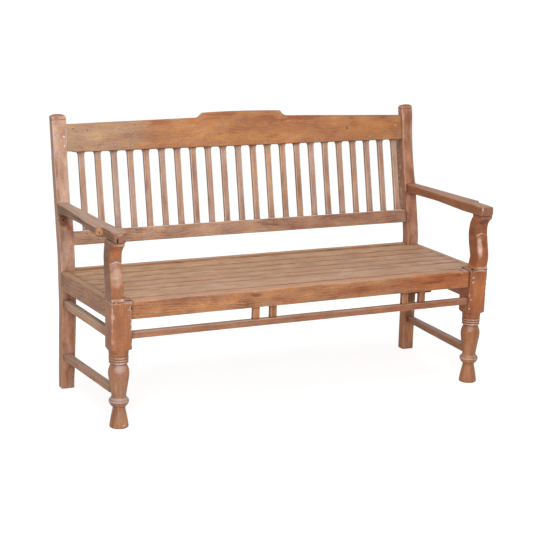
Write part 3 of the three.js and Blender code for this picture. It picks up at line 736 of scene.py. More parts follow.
def open_pores(w: Wiring, given: Sockets) -> dict[str, Value]:
    """Short dark pores that lie along the grain.

    Args:
        w: Adds the nodes.
        given: The effect's inputs.

    Returns:
        What goes to its outputs.
    """
    grain, seed = given["Grain"], given["Seed"]
    dashes = w.cloud(grain, (130, 2600, 2600), seed, 0)
    crowd = w.cloud(grain, (9, 120, 120), seed, 1)
    mask = w.spread(w.math("ADD", dashes, w.math("MULTIPLY", crowd, 0.2)), 0.68, 0.8)
    mask = w.math("MULTIPLY", mask, given["Amount"])
    colour = w.mix(mask, given["Colour"], given["Pore colour"])
    return {"Colour": colour, "Mask": mask}


OPEN_PORES = Effect(
    "Open pores", open_pores,
    colours=("Colour", "Pore colour"), numbers=("Seed", "Amount"), vectors=("Grain",), masks=("Mask",))


def rubbed_edge(w: Wiring, given: Sockets) -> dict[str, Value]:
    """Corners that hands and cloths have rubbed to another colour, in broken stretches.

    Args:
        w: Adds the nodes.
        given: The effect's inputs.

    Returns:
        What goes to its outputs.
    """
    broken = w.cloud(given["Grain"], (16, 40, 40), given["Seed"], 3)
    patchy = w.spread(broken, 0.36, 0.58, given["Least"], 1.0)
    mask = w.math("MULTIPLY", w.spread(given["Edge"], 0.1, 0.9), patchy)
    mask = w.math("MULTIPLY", mask, given["Amount"], True)
    return {"Colour": w.mix(mask, given["Colour"], given["Rub colour"]), "Mask": mask}


RUBBED_EDGE = Effect(
    "Rubbed edge", rubbed_edge,
    colours=("Colour", "Rub colour"), numbers=("Edge", "Seed", "Amount", "Least"), vectors=("Grain",),
    masks=("Mask",))


def weathered_top(w: Wiring, given: Sockets) -> dict[str, Value]:
    """Upward faces bleached grey, more in some streaks than in others.

    Args:
        w: Adds the nodes.
        given: The effect's inputs.

    Returns:
        What goes to its outputs.
    """
    facing = w.spread(w.node("ShaderNodeSeparateXYZ", {0: given["Normal"]}).outputs[2], 0.35, 0.9)
    streak = w.cloud(given["Grain"], (5, 90, 90), given["Seed"], 3)
    share = w.math("MULTIPLY", facing, w.spread(streak, 0.3, 0.62, 0.45, 1.0))
    share = w.math("MULTIPLY", share, given["Amount"], True)
    return {"Colour": w.mix(share, given["Colour"], given["Grey"]), "Mask": share}


WEATHERED_TOP = Effect(
    "Weathered top", weathered_top,
    colours=("Colour", "Grey"), numbers=("Seed", "Amount"), vectors=("Normal", "Grain"), masks=("Mask",))


def sawn_end(w: Wiring, given: Sockets) -> dict[str, Value]:
    """End grain: close arcs of the growth layers, darker than the faces.

    Args:
        w: Adds the nodes.
        given: The effect's inputs.

    Returns:
        What goes to its outputs.
    """
    heart = w.vector("SUBTRACT", given["Grain"], (0, 0.02, 0.05)).outputs[0]
    radius = w.vector("LENGTH", w.stretched(heart, (0, 1, 1))).outputs["Value"]
    arcs = w.math("SINE", w.math("MULTIPLY", radius, 2100.0))
    speckle = w.cloud(given["Grain"], (200, 900, 900), given["Seed"], 2)
    dark = w.math("ADD", w.spread(arcs, -1, 1, 0.0, 0.3), w.spread(speckle, 0.5, 0.7, 0.0, 0.35))
    face = w.mix(dark, given["End colour"], given["Dark"])
    return {"Colour": w.mix(given["Sawn"], given["Colour"], face)}


SAWN_END = Effect(
    "Sawn end", sawn_end,
    colours=("Colour", "End colour", "Dark"), numbers=("Sawn", "Seed"), vectors=("Grain",))


def joint_grime(w: Wiring, given: Sockets) -> dict[str, Value]:
    """Old wax and dirt that has gathered beside a joint, with painted shade there and wherever a timber's
    boost is negative.

    Args:
        w: Adds the nodes.
        given: The effect's inputs.

    Returns:
        What goes to its outputs.
    """
    broken = w.cloud(given["Grain"], (60, 90, 90), given["Seed"], 2)
    mask = w.math("MULTIPLY", given["Joint"], w.spread(broken, 0.3, 0.65, 0.3, 1.0))
    mask = w.math("MULTIPLY", mask, given["Amount"], True)
    return {"Colour": w.mix(mask, given["Colour"], given["Grime"])}


JOINT_GRIME_AND_SHADE = Effect(
    "Joint grime", joint_grime,
    colours=("Colour", "Grime"), numbers=("Joint", "Seed", "Amount"), vectors=("Grain",))


def stain(w: Wiring, given: Sockets) -> dict[str, Value]:
    """A patch of another colour, with a ragged outline, at one place on the bench; most are stains, some are
    painted highlights and painted shade.

    Args:
        w: Adds the nodes.
        given: The effect's inputs.

    Returns:
        What goes to its outputs.
    """
    away = w.vector("SUBTRACT", given["Place"], given["Centre"]).outputs[0]
    scaled = w.vector("DIVIDE", away, given["Reach"]).outputs[0]
    distance = w.vector("LENGTH", scaled).outputs["Value"]
    fray = w.cloud(given["Place"], (38, 38, 150), 0.7, 3)
    ragged = w.math("MULTIPLY", w.math("SUBTRACT", fray, 0.5), given["Ragged"])
    mask = w.spread(w.math("ADD", distance, ragged), 1.0, 0.45)
    mask = w.math("MULTIPLY", mask, given["Strength"], True)
    return {"Colour": w.mix(mask, given["Colour"], given["Blot colour"], "MULTIPLY")}


BLOT = Effect(
    "Blot", stain,
    colours=("Colour", "Blot colour"), numbers=("Strength", "Ragged"),
    vectors=("Place", "Centre", "Reach"))


@dataclass(frozen=True)
class Blot:
    """A patch of another colour on the wood; most are stains, some are painted highlights and painted shade.

    Attributes:
        centre: Its middle.
        reach: How far it reaches along X, Y and Z.
        colour: Its colour code.
        strength: How much it covers.
        ragged: How ragged its outline is.
    """

    centre: tuple[float, float, float]
    reach: tuple[float, float, float]
    colour: int
    strength: float = 0.6
    ragged: float = 1.2


@dataclass(frozen=True)
class TeakFinish:
    """Old oiled teak.

    Attributes:
        slot: The record's slot for this finish.
        pale: The lightest wood.
        mid: The usual wood.
        dark: The late wood.
        rub: The colour of rubbed corners.
        grey: The colour of bleached upward faces.
        end: The colour of end grain.
        wave: How far the figure sways.
        pitch: Distance between growth layers, over a full turn.
        layering: How strongly the growth layers show.
        streaks: The share of fine streaks in the figure; the rest is cloudy.
        flecks: How strongly small bright flecks show.
        fleck: Their colour.
        rubbed: How strongly the corners are rubbed.
        least: How much of that is left in the least rubbed stretches.
        bleached: How much of the upward faces is bleached.
        roughness: Of the polished stretches.
        wax: How strongly a coat of wax shines.
        warm: The colour that a warm timber leans to.
        cool: The colour that a grey timber leans to.
        blots: Patches of another colour.
    """

    slot: Slot
    pale: int
    mid: int
    dark: int
    rub: int
    grey: int
    end: int = 0xA8714A
    wave: float = 0.025
    pitch: float = 0.0013
    layering: float = 0.05
    streaks: float = 0.35
    flecks: float = 0.25
    fleck: int = 0xD2A070
    rubbed: float = 0.6
    least: float = 0.12
    bleached: float = 0.5
    roughness: float = 0.5
    wax: float = 0.0
    warm: int = 0xB27A52
    cool: int = 0xB49482
    blots: tuple[Blot, ...] = ()

    def over_mid(self, code: int) -> tuple[float, ...]:
        """What the usual wood is multiplied by to give another colour."""
        return (*(to / of for to, of in zip(srgb(code)[:3], srgb(self.mid))), 1.0)

    def build(self) -> bpy.types.Material:
        """Makes the material.

        Returns:
            The new material, named after its slot.
        """
        material = bpy.data.materials.new(self.slot.value)
        w = Wiring.fresh(material)
        read = {
            name: w.node("ShaderNodeAttribute", {}, attribute_name=name)
            for name in ("grain", "edge", "sawn", "joint", "seed", "tint")}
        grain, seed = read["grain"].outputs["Vector"], read["seed"].outputs["Fac"]
        own = {"Grain": grain, "Seed": seed}
        place = w.node("ShaderNodeTexCoord", {}).outputs["Object"]
        normal = w.node("ShaderNodeNewGeometry", {}).outputs["Normal"]

        figure = w.group(TIMBER_FIGURE, {
            **own, "Pale": srgb(self.pale), "Mid": srgb(self.mid), "Dark": srgb(self.dark),
            "Wave": self.wave, "Pitch": self.pitch, "Layering": self.layering, "Streaks": self.streaks,
            "Flecks": self.flecks, "Fleck colour": srgb(self.fleck)})
        colour = figure.outputs["Colour"]
        tint = read["tint"].outputs["Fac"]
        warmer = w.math("MULTIPLY", tint, 1.0, True)
        cooler = w.math("MULTIPLY", tint, -1.0, True)
        colour = w.mix(warmer, colour, self.over_mid(self.warm), "MULTIPLY")
        colour = w.mix(cooler, colour, self.over_mid(self.cool), "MULTIPLY")
        patina = w.cloud(place, (7, 7, 7), 4.2, 2)
        level = w.spread(patina, 0.3, 0.7, 0.9, 1.08)
        colour = w.mix(1.0, colour, w.grey(level), "MULTIPLY")
        pores = w.group(OPEN_PORES, {
            **own, "Colour": colour, "Pore colour": srgb(PORE_COLOUR), "Amount": 0.55})
        colour = pores.outputs["Colour"]
        fresher = w.math("SUBTRACT", 1.0, w.math("MULTIPLY", warmer, 0.6))
        bleaching = w.math("MULTIPLY", fresher, self.bleached)
        bleached = w.group(WEATHERED_TOP, {
            **own, "Colour": colour, "Normal": normal, "Grey": srgb(self.grey), "Amount": bleaching})
        rubbed = w.group(RUBBED_EDGE, {
            **own, "Colour": bleached.outputs["Colour"], "Edge": read["edge"].outputs["Fac"],
            "Rub colour": srgb(self.rub), "Amount": self.rubbed, "Least": self.least})
        sawn = w.group(SAWN_END, {
            **own, "Colour": rubbed.outputs["Colour"], "Sawn": read["sawn"].outputs["Fac"],
            "End colour": srgb(self.end), "Dark": srgb(self.dark)})
        colour = sawn.outputs["Colour"]
        for blot in self.blots:
            colour = w.group(BLOT, {
                "Colour": colour, "Place": place, "Centre": blot.centre, "Reach": blot.reach,
                "Blot colour": self.over_mid(blot.colour), "Strength": blot.strength,
                "Ragged": blot.ragged}).outputs["Colour"]
        # Dirt and painted shade beside joints and wherever a boost is negative.
        grimy = w.group(JOINT_GRIME_AND_SHADE, {
            **own, "Colour": colour, "Joint": read["joint"].outputs["Fac"],
            "Grime": srgb(GRIME_AND_SHADE_COLOUR), "Amount": 0.6})
        matt = w.math("MULTIPLY", bleached.outputs["Mask"], 0.2)
        rough = w.math("ADD", w.spread(figure.outputs["Level"], 0.3, 0.7, self.roughness + 0.06,
                                       self.roughness - 0.05), matt)
        rough = w.math("ADD", rough, w.math("MULTIPLY", rubbed.outputs["Mask"], -0.06))
        relief = w.math("SUBTRACT", figure.outputs["Height"], pores.outputs["Mask"])
        bump = w.node("ShaderNodeBump", {"Strength": 0.45, "Distance": 0.0004, "Height": relief})
        shader = w.node("ShaderNodeBsdfPrincipled", {
            "Base Color": grimy.outputs["Colour"], "Roughness": rough, "Normal": bump.outputs[0],
            "Specular IOR Level": 0.35, "Coat Weight": self.wax, "Coat Roughness": 0.28})
        w.node("ShaderNodeOutputMaterial", {"Surface": shader.outputs[0]})
        return material


@dataclass(frozen=True)
class HeadFinish:
    """Finish of a small head: a whittled peg's end grain, or old iron.

    Attributes:
        slot: The record's slot for this finish.
        light: The lighter colour.
        dark: The darker colour.
        roughness: How matt it is.
    """

    slot: Slot
    light: int
    dark: int
    roughness: float

    def build(self) -> bpy.types.Material:
        """Makes the material.

        Returns:
            The new material, named after its slot.
        """
        material = bpy.data.materials.new(self.slot.value)
        w = Wiring.fresh(material)
        place = w.node("ShaderNodeTexCoord", {}).outputs["Object"]
        blotchy = w.cloud(place, (420, 420, 420), 0.3, 3)
        colour = w.mix(w.spread(blotchy, 0.38, 0.62), srgb(self.dark), srgb(self.light))
        dull = w.node("ShaderNodeAttribute", {}, attribute_name="dull").outputs["Fac"]
        colour = w.mix(dull, colour, srgb(SUNK_COLOUR))
        # The rim round a head gets painted shade of the gap round it.
        rim = w.node("ShaderNodeAttribute", {}, attribute_name="rim").outputs["Fac"]
        colour = w.mix(rim, colour, srgb(GAP_SHADE_COLOUR))
        rough = w.spread(blotchy, 0.3, 0.7, self.roughness + 0.1, self.roughness - 0.1)
        bump = w.node("ShaderNodeBump", {"Strength": 0.5, "Distance": 0.0003, "Height": blotchy})
        shader = w.node("ShaderNodeBsdfPrincipled", {
            "Base Color": colour, "Roughness": rough, "Normal": bump.outputs[0]})
        w.node("ShaderNodeOutputMaterial", {"Surface": shader.outputs[0]})
        return material


@dataclass(frozen=True)
class Layout:
    """Places that the sub-assemblies share, read from the frame.

    Attributes:
        front: Y of the leg blocks' front faces.
        post_front: Y of the rear posts' front faces below the bend.
        leg_depth: Depth of the leg blocks.
        leg_inner: X of the inner face of the right leg's block.
        leg_outer: X of the outer face of the right leg.
        post_inner: X of the inner face of the right post.
        post_outer: X of the outer face of the right post.
        seat: Height of the seat.
        bend: Height where the posts lean back.
        rake: Lean of the back.
        rail_in_leg: From a leg's outer face in to the side rail's, at its front end.
        rail_in_post: From a post's outer face in to the side rail's, at its rear end.
    """

    front: float
    post_front: float
    leg_depth: float
    leg_inner: float
    leg_outer: float
    post_inner: float
    post_outer: float
    seat: float
    bend: float
    rake: float
    rail_in_leg: float = 0.005
    rail_in_post: float = 0.0005

    @classmethod
    def read(cls) -> "Layout":
        """Reads the layout from the frame's nodes.

        Returns:
            The layout.
        """
        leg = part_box("front_leg_right")
        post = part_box("rear_post_right")
        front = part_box("front_seat_rail")[0].y - RAIL_SET_BACK
        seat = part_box("seat_board_01")[1].z
        return cls(
            front=front, post_front=front + FRONT_TO_POST, leg_depth=BLOCK_DEPTH, leg_inner=leg[0].x,
            leg_outer=leg[1].x, post_inner=post[0].x, post_outer=post[1].x, seat=seat,
            bend=seat + SEAT_TO_BEND, rake=RAKE)

    def on_back(self, x: float, depth: float, rise: float) -> Vector:
        """A point of the leaning back.

        Args:
            x: Its place along the bench.
            depth: How far it lies behind the posts' front faces.
            rise: How far up the back it lies from the bend.

        Returns:
            The point.
        """
        lean_sin, lean_cos = math.sin(self.rake), math.cos(self.rake)
        return Vector((
            x, self.post_front + depth * lean_cos + rise * lean_sin,
            self.bend - depth * lean_sin + rise * lean_cos))

    @property
    def off_back(self) -> Vector:
        """The direction straight forward out of the leaning back."""
        return self.on_back(0, -1, 0) - self.on_back(0, 0, 0)

    @property
    def behind_leg(self) -> float:
        """Y at which a piece that meets the rear of a leg's block starts."""
        return self.front + self.leg_depth + FIT_GAP

    def side_outer(self, y: float) -> float:
        """Finds the outer face of the right side rail.

        Args:
            y: A depth of the bench.

        Returns:
            X of the face there.
        """
        front = self.front + self.leg_depth
        share = (y - front) / (self.post_front - front)
        return blend(self.leg_outer - self.rail_in_leg, self.post_outer - self.rail_in_post, share)


@dataclass
class SubAssembly:
    """A part of the bench that is made in one go.

    Attributes:
        layout: The shared places.
        materials: The built finishes, by their slots.
    """

    layout: Layout
    materials: dict[Slot, bpy.types.Material]

    def dress(self, *timbers: Timber) -> None:
        """Builds timbers, gives them their finishes, ties them to the body and hides the nodes that they
        stand for.
        """
        for timber in timbers:
            settle(timber.build(), self.materials[timber.slot], timber.slot, timber.node)


@dataclass
class EndPiece(SubAssembly):
    """A part that stands at both ends of the bench, nearly alike.

    Attributes:
        side: Which end of the bench it is at.
    """

    side: Side

    @property
    def right(self) -> bool:
        """Whether it is at the right end."""
        return self.side is Side.RIGHT


@dataclass(frozen=True)
class CrestEnd:
    """The outline of one half of the crest rail.

    Attributes:
        end: Height at the post.
        foot: Height at the foot of the hollow.
        panel: From the middle to the edge of the raised centre.
        hollow: Width of the hollow beside the raised centre.
        bite: How sharply the hollow turns, from nought to one.
    """

    end: float
    foot: float
    panel: float
    hollow: float
    bite: float

    @property
    def outer(self) -> float:
        """From the middle to the outer end of the hollow."""
        return self.panel + self.hollow


@dataclass
class Back(SubAssembly):
    """The leaning back: crest rail, lower rail, slats and their small fasteners.

    Attributes:
        rail_inset: From the posts' front faces to the lower rail's front face.
        crest_inset: From the posts' front faces to the crest rail's front face.
        left_lift: How far the crest rail's foot climbs at its left end.
        crest_tenon: How far the crest rail runs on to meet the right post, which leans out.
        rail_thickness: Of both rails.
        lower_rise: From the bend up to the lower rail.
        lower_height: Height of the lower rail.
        slat_count: Number of slats.
        slat_width: Width of a slat.
        slat_thickness: Thickness of a slat.
        slat_length: Clear length of the slats.
        fillet_width: Width of the fillet that narrows the gap beside the last slat.
        fillet_thickness: Thickness of that fillet.
        first_gap: From the left post to the first slat.
        last_gap: From the last slat to the right post.
        slat_bow: How far a slat bows sideways at most.
        slat_twist: How far a slat is twisted at most, in radians.
        panel_height: Height of the crest rail at the ends of its raised centre.
        middle_height: Height of the crest rail in the middle.
        left_half: The outline of its left half.
        right_half: The outline of its right half.
    """

    rail_inset: float = 0.0015
    crest_inset: float = 0.0006
    left_lift: float = 0.004
    crest_tenon: float = 0.0045
    rail_thickness: float = 0.027
    lower_rise: float = 0.0523
    lower_height: float = 0.052
    slat_count: int = 22
    slat_width: float = 0.0225
    slat_thickness: float = 0.014
    slat_length: float = 0.286
    fillet_width: float = 0.0228
    fillet_thickness: float = 0.004
    first_gap: float = 0.0463
    last_gap: float = 0.0255
    slat_bow: float = 0.0009
    slat_twist: float = 0.03
    panel_height: float = 0.1306
    middle_height: float = 0.1332
    left_half: CrestEnd = CrestEnd(end=0.1033, foot=0.1123, panel=0.160, hollow=0.032, bite=0.6)
    right_half: CrestEnd = CrestEnd(end=0.098, foot=0.1108, panel=0.164, hollow=0.028, bite=0.36)

    @property
    def crest_bottom(self) -> float:
        """How far up the back the crest rail starts."""
        return self.lower_rise + self.lower_height + self.slat_length

    @property
    def slat_places(self) -> list[float]:
        """The places of the slats.

        Returns:
            X of each slat's middle, from the left.
        """
        inner = self.layout.post_inner
        first = self.first_gap + self.slat_width / 2 - inner
        last = inner - self.last_gap - self.slat_width / 2
        return [blend(first, last, i / (self.slat_count - 1)) for i in range(self.slat_count)]

    def crest_height(self, x: float) -> float:
        """Finds the height of the crest rail.

        Args:
            x: A place along the bench.

        Returns:
            The height there.
        """
        half = self.right_half if x > 0 else self.left_half
        reach = abs(x)
        if reach <= half.panel:
            return blend(self.middle_height, self.panel_height, (reach / half.panel) ** 2)
        if reach >= half.outer:
            share = (reach - half.outer) / (self.layout.post_inner - FIT_GAP - half.outer)
            return blend(half.foot, half.end, share)
        share = 1 - (reach - half.panel) / half.hollow
        low, high = 0.0, 1.0
        for _ in range(HALVINGS):
            t = (low + high) / 2
            run = 2 * t * (1 - t) * (1 - half.bite) + t * t
            low, high = (t, high) if run < share else (low, t)
        return blend(half.foot, self.panel_height, t * t)

    def crest_rail(self) -> Timber:
        """Shapes the rail along the top of the back.

        Returns:
            The rail.
        """
        depth = (self.crest_inset, self.rail_inset + self.rail_thickness)
        end = self.layout.post_inner - FIT_GAP
        left, right = self.left_half, self.right_half
        fine, off = 0.002, 0.008  # between two sections in a hollow, and from there to the next one
        marks = [
            *spaced(-end, -left.outer - off, STEP), *spaced(-left.outer, -left.panel, fine),
            *spaced(off + fine - left.panel, right.panel - off, STEP),
            *spaced(right.panel, right.outer, fine), *spaced(right.outer + off, end + self.crest_tenon, STEP)]

        def section(x: float) -> list[Corner]:
            """Its outline at a place along the bench."""
            low = self.crest_bottom + self.left_lift * ease(-0.672, -0.69, x)
            high = self.crest_bottom + self.crest_height(x)
            return [
                Corner(depth[0], low, 0.002), Corner(depth[1], low, 0.002),
                Corner(depth[1], high, 0.0025), Corner(depth[0], high, 0.003)]

        return Timber("crest_rail", Slot.CREST, self.layout.on_back, section, marks,
                      grid=Grid(flat=3, rim=0.0025), grimy=0.25)

    def lower_rail(self) -> Timber:
        """Shapes the plain rail below the slats.

        Returns:
            The rail.
        """
        depth = (self.rail_inset, self.rail_inset + self.rail_thickness)
        rise = (self.lower_rise, self.lower_rise + self.lower_height)
        end = self.layout.post_inner - FIT_GAP
        return Timber(
            "lower_back_rail", Slot.RAIL, self.layout.on_back, lambda x: rectangle(depth, rise, 0.0028),
            spaced(-end, end, STEP), grid=Grid(flat=2), uneven=0.0007, tint=-1.0, grimy=0.4)

    def slat(self, i: int, x: float) -> Timber:
        """One slat.

        Args:
            i: Its number from the left, from nought.
            x: Its middle.

        Returns:
            The slat, a little bowed and twisted as hand-sawn slats are.
        """
        low = self.lower_rise + self.lower_height + FIT_GAP
        high = self.crest_bottom - FIT_GAP
        middle = self.rail_inset + self.rail_thickness / 2
        lean = noise.noise(Vector((i * 3.7, 1.3, 0)))
        bow = self.slat_bow * noise.noise(Vector((i * 5.1, 4.4, 0)))

        def place(rise: float, across: float, depth: float) -> Vector:
            """A point of the bowed and twisted slat."""
            share = (rise - low) / (high - low)
            turn = self.slat_twist * lean * (share - 0.5)
            aside = x + across + bow * math.sin(math.pi * share) + turn * depth
            return self.layout.on_back(aside, middle + depth - turn * across, rise)

        half = self.slat_width / 2, self.slat_thickness / 2
        tint = 1.7 * noise.noise(Vector((i * 2.3, 0.2, 7.1)))
        last = i == self.slat_count - 1

        def section(rise: float) -> list[Corner]:
            """Its outline, flared at both ends; the last slat carries a fillet."""
            flare = 0.0055 * math.exp((rise - high) / 0.004) + 0.0018 * math.exp((low - rise) / 0.0015)
            left, right = -half[0] - flare, half[0] + flare
            if not last:
                return rectangle((left, right), (-half[1], half[1]), 0.0022)
            step = half[1] - self.fillet_thickness
            return [
                Corner(left, -half[1], 0.0022), Corner(right, -half[1], 0.0022), Corner(right, step, 0.0004),
                Corner(half[0] + self.fillet_width, step, 0.0006),
                Corner(half[0] + self.fillet_width, half[1], 0.0006), Corner(left, half[1], 0.0022)]

        def boost(rise: float, across: float, depth: float) -> float:
            """Painted shade under the crest rail and down the left side, and on the fillet painted shade with
            dirt.
            """
            top = 0.95 * ease(high - 0.012, high - 0.002, rise) * ease(0.006, -0.006, across)
            shaded = 0.5 if across < 0.0008 - half[0] and depth > 0.0022 - half[1] else 0.0
            fillet = 1.0 if last and across > half[0] + 0.0005 else 0.0
            # This darkening is painted shade, with some dirt on the fillet.
            darkening = max(top, shaded, fillet)
            return -darkening if darkening > 0.03 else 0.0

        marks = [
            low, low + 0.0015, *spaced(low + 0.004, high - 0.011, STEP), high - 0.0075, high - 0.005,
            high - 0.003, high - 0.0015, high]
        return Timber(
            f"back_slat_{i + 1:02d}", Slot.SLAT, place, section, marks, tint=max(-1.0, min(1.0, tint)),
            uneven=0.0004, boost=boost)

    def build(self) -> None:
        """Makes the whole back."""
        slats = (self.slat(i, x) for i, x in enumerate(self.slat_places))
        self.dress(self.crest_rail(), self.lower_rail(), *slats)


# Distances up the back, and how far a post's inner and outer faces have strayed along X there.
STRAYED = {
    Side.LEFT: (
        (-0.45, -0.001, 0), (-0.415, 0.001, 0), (-0.34, 0.0035, 0.001), (-0.25, 0.006, 0.002),
        (-0.2, 0.007, 0.003), (-0.155, 0.0075, 0.0025), (-0.02, 0.004, 0), (0.12, 0.0055, 0),
        (0.16, 0.005, 0), (0.2, 0, 0), (0.37, 0.0005, 0), (0.40, 0.002, 0.0005), (0.44, 0.0045, 0.001),
        (0.49, 0.006, 0.001), (0.518, 0.006, 0.001), (0.531, 0.0015, -0.0035)),
    Side.RIGHT: (
        (0.2, 0, 0), (0.25, 0, -0.0031), (0.30, 0, -0.0042), (0.36, 0, -0.0036),
        (0.40, 0.0015, -0.0025), (0.435, 0.003, 0), (0.475, 0.0045, 0.003), (0.5, 0.0048, 0.0045))}


@dataclass
class RearPost(EndPiece):
    """A rear post: straight to the seat, leaning above it, with a domed head over a groove.

    Attributes:
        foot_depth: Depth at the floor.
        seat_depth: Depth at the bend.
        top_depth: Depth at the head.
        bend_reach: Length of the curved stretch on each side of the bend.
        top_rise: How far up the back the arris of the head lies.
        groove_width: Width of the groove.
        groove_depth: Depth of the groove.
        head_rise: Height of the dome.
        under_arm: How far up the back the underside of the arm meets it.
        back: The back, whose rails meet it.
    """

    back: Back
    foot_depth: float = 0.034
    seat_depth: float = 0.038
    top_depth: float = 0.0288
    bend_reach: float = 0.038
    top_rise: float = 0.5182
    groove_width: float = 0.0034
    groove_depth: float = 0.0007
    head_rise: float = 0.0124
    under_arm: float = 0.1735

    @property
    def band(self) -> float:
        """Height of the plain band under the head's arris; the right one is narrower."""
        return 0.0045 if self.right else 0.0078

    def faces(self, s: float) -> tuple[Vector, Vector]:
        """The front and the rear of the post's side outline.

        Args:
            s: The place along the post: its height below the bend, and on above it up the lean.

        Returns:
            Two points with Y and Z, the front one first.
        """
        lay, reach = self.layout, self.bend_reach
        straight = lay.bend - reach
        tightened = self.seat_depth * math.tan(lay.rake / 2)
        rear_bend = Vector((lay.post_front + self.seat_depth, lay.bend - tightened))
        lean_top = self.top_rise - self.band - self.groove_width
        top = lay.on_back(0, self.top_depth, lean_top).yz
        above = rear_bend + (top - rear_bend).normalized() * reach
        below = rear_bend + Vector((0, -1)) * reach

        def on_front(rise: float) -> Vector:
            """Y and Z of the leaning front face."""
            return lay.on_back(0, 0, rise).yz

        if s <= straight:
            rear_y = blend(lay.post_front + self.foot_depth, rear_bend.x, s / straight)
            return Vector((lay.post_front, s)), Vector((rear_y, s * (rear_bend.y - reach) / straight))
        if s < lay.bend + reach:
            t = (s - lay.bend + reach) / (2 * reach)
            weights = (1 - t) ** 2, 2 * t * (1 - t), t * t
            front = (Vector((lay.post_front, straight)), on_front(0), on_front(reach))
            return (sum((p * k for p, k in zip(front, weights)), Vector((0, 0))),
                    sum((p * k for p, k in zip((below, rear_bend, above), weights)), Vector((0, 0))))
        rise = s - lay.bend
        if rise <= lean_top:
            return on_front(rise), above.lerp(top, (rise - reach) / (lean_top - reach))
        return on_front(rise), lay.on_back(0, self.top_depth, rise).yz

    def timber(self) -> Timber:
        """Shapes the post.

        Returns:
            The post as one timber.
        """
        lay, back = self.layout, self.back
        turn = lay.bend
        # Stretches up the back where the rails have kept its inner corners sharp.
        kept = ((back.lower_rise, back.lower_rise + back.lower_height),
                (back.crest_bottom, back.crest_bottom + back.right_half.end))
        groove_base = turn + self.top_rise - self.band - self.groove_width
        arris = turn + self.top_rise
        middle = (lay.post_inner + lay.post_outer) / 2
        half = (lay.post_outer - lay.post_inner) / 2
        # Shares of the head's height, and how far it has drawn in there.
        dome = [(0.0, 0.0), (0.26, 0.03), (0.46, 0.08), (0.64, 0.16), (0.78, 0.28), (0.89, 0.42),
                (0.96, 0.56), (1.0, 0.72)]

        def inset(s: float) -> float:
            """How far the faces are drawn in, at the groove and over the head."""
            if s > arris:
                return half * value_along(dome, (s - arris) / self.head_rise, 1)
            if groove_base < s < arris - self.band:
                return self.groove_depth
            return 0.0

        def place(s: float, across: float, deep: float) -> Vector:
            """A point of the post, with its depth as a share of the post's."""
            front, rear = self.faces(s)
            point = front + (rear - front) * deep
            inner, outer = (value_along(STRAYED[self.side], s - turn, i) for i in (1, 2))
            stray = blend(inner, outer, (1 + across / half) / 2)
            return Vector((self.side.value * (middle + across) + stray, point.x, point.y))

        def section(s: float) -> list[Corner]:
            """Its outline, with its depth as shares."""
            drawn = inset(s)
            front, rear = self.faces(s)
            share = drawn / half
            wide = half - drawn
            low, high = 0.5 * share, 1 - 0.5 * share
            if s <= arris:
                low, high = drawn / (rear - front).length, 1 - drawn / (rear - front).length
            inner = 0.0008 if any(bottom < s - turn < top for bottom, top in kept) else 0.003
            return [Corner(-wide, low, inner), Corner(wide, low, 0.003),
                    Corner(wide, high, 0.003), Corner(-wide, high, 0.003)]

        def boost(s: float, across: float, deep: float) -> float:
            """Darkening in the groove, painted shadow of the arm below it, and a rubbed inner corner on the
            right post.
            """
            rise = s - turn
            if groove_base + 0.0006 < s < arris - self.band - 0.0004:
                return -1.0
            # Painted shadow of the arm on the post's front face, fading downwards.
            if self.under_arm - 0.03 < rise < self.under_arm + 0.004 and deep < 0.05:
                return -ease(self.under_arm - 0.03, self.under_arm - 0.004, rise)
            if self.right and rise > 0.24 and across < 0.004 - half and deep < 0.1:
                return 0.9
            return 0.0

        dome_marks = [arris + share * self.head_rise for share in (
            0.05, 0.1, 0.16, 0.23, 0.3, 0.38, 0.46, 0.55, 0.64, 0.73, 0.82, 0.89, 0.94, 1.0)]
        marks = [
            *spaced(0, turn - self.bend_reach, STEP), *spaced(turn - 0.034, turn + 0.034, 0.0045),
            *spaced(turn + self.bend_reach, turn + 0.15, STEP), *spaced(turn + 0.156, turn + 0.18, 0.003),
            *spaced(turn + 0.19, groove_base - 0.001, STEP),
            groove_base + 0.0008, groove_base + 0.0015, groove_base + self.groove_width - 0.0008,
            groove_base + self.groove_width + 0.0006, arris - 0.003, arris - 0.0006, *dome_marks]
        return Timber(f"rear_post_{self.side.word}", Slot.POST, place, section, marks,
                      ends=(End.WORN, End.OPEN), grid=Grid(flat=2, rim=0.003), tint=self.side.value,
                      boost=boost)

    def build(self) -> None:
        """Makes the post."""
        self.dress(self.timber())


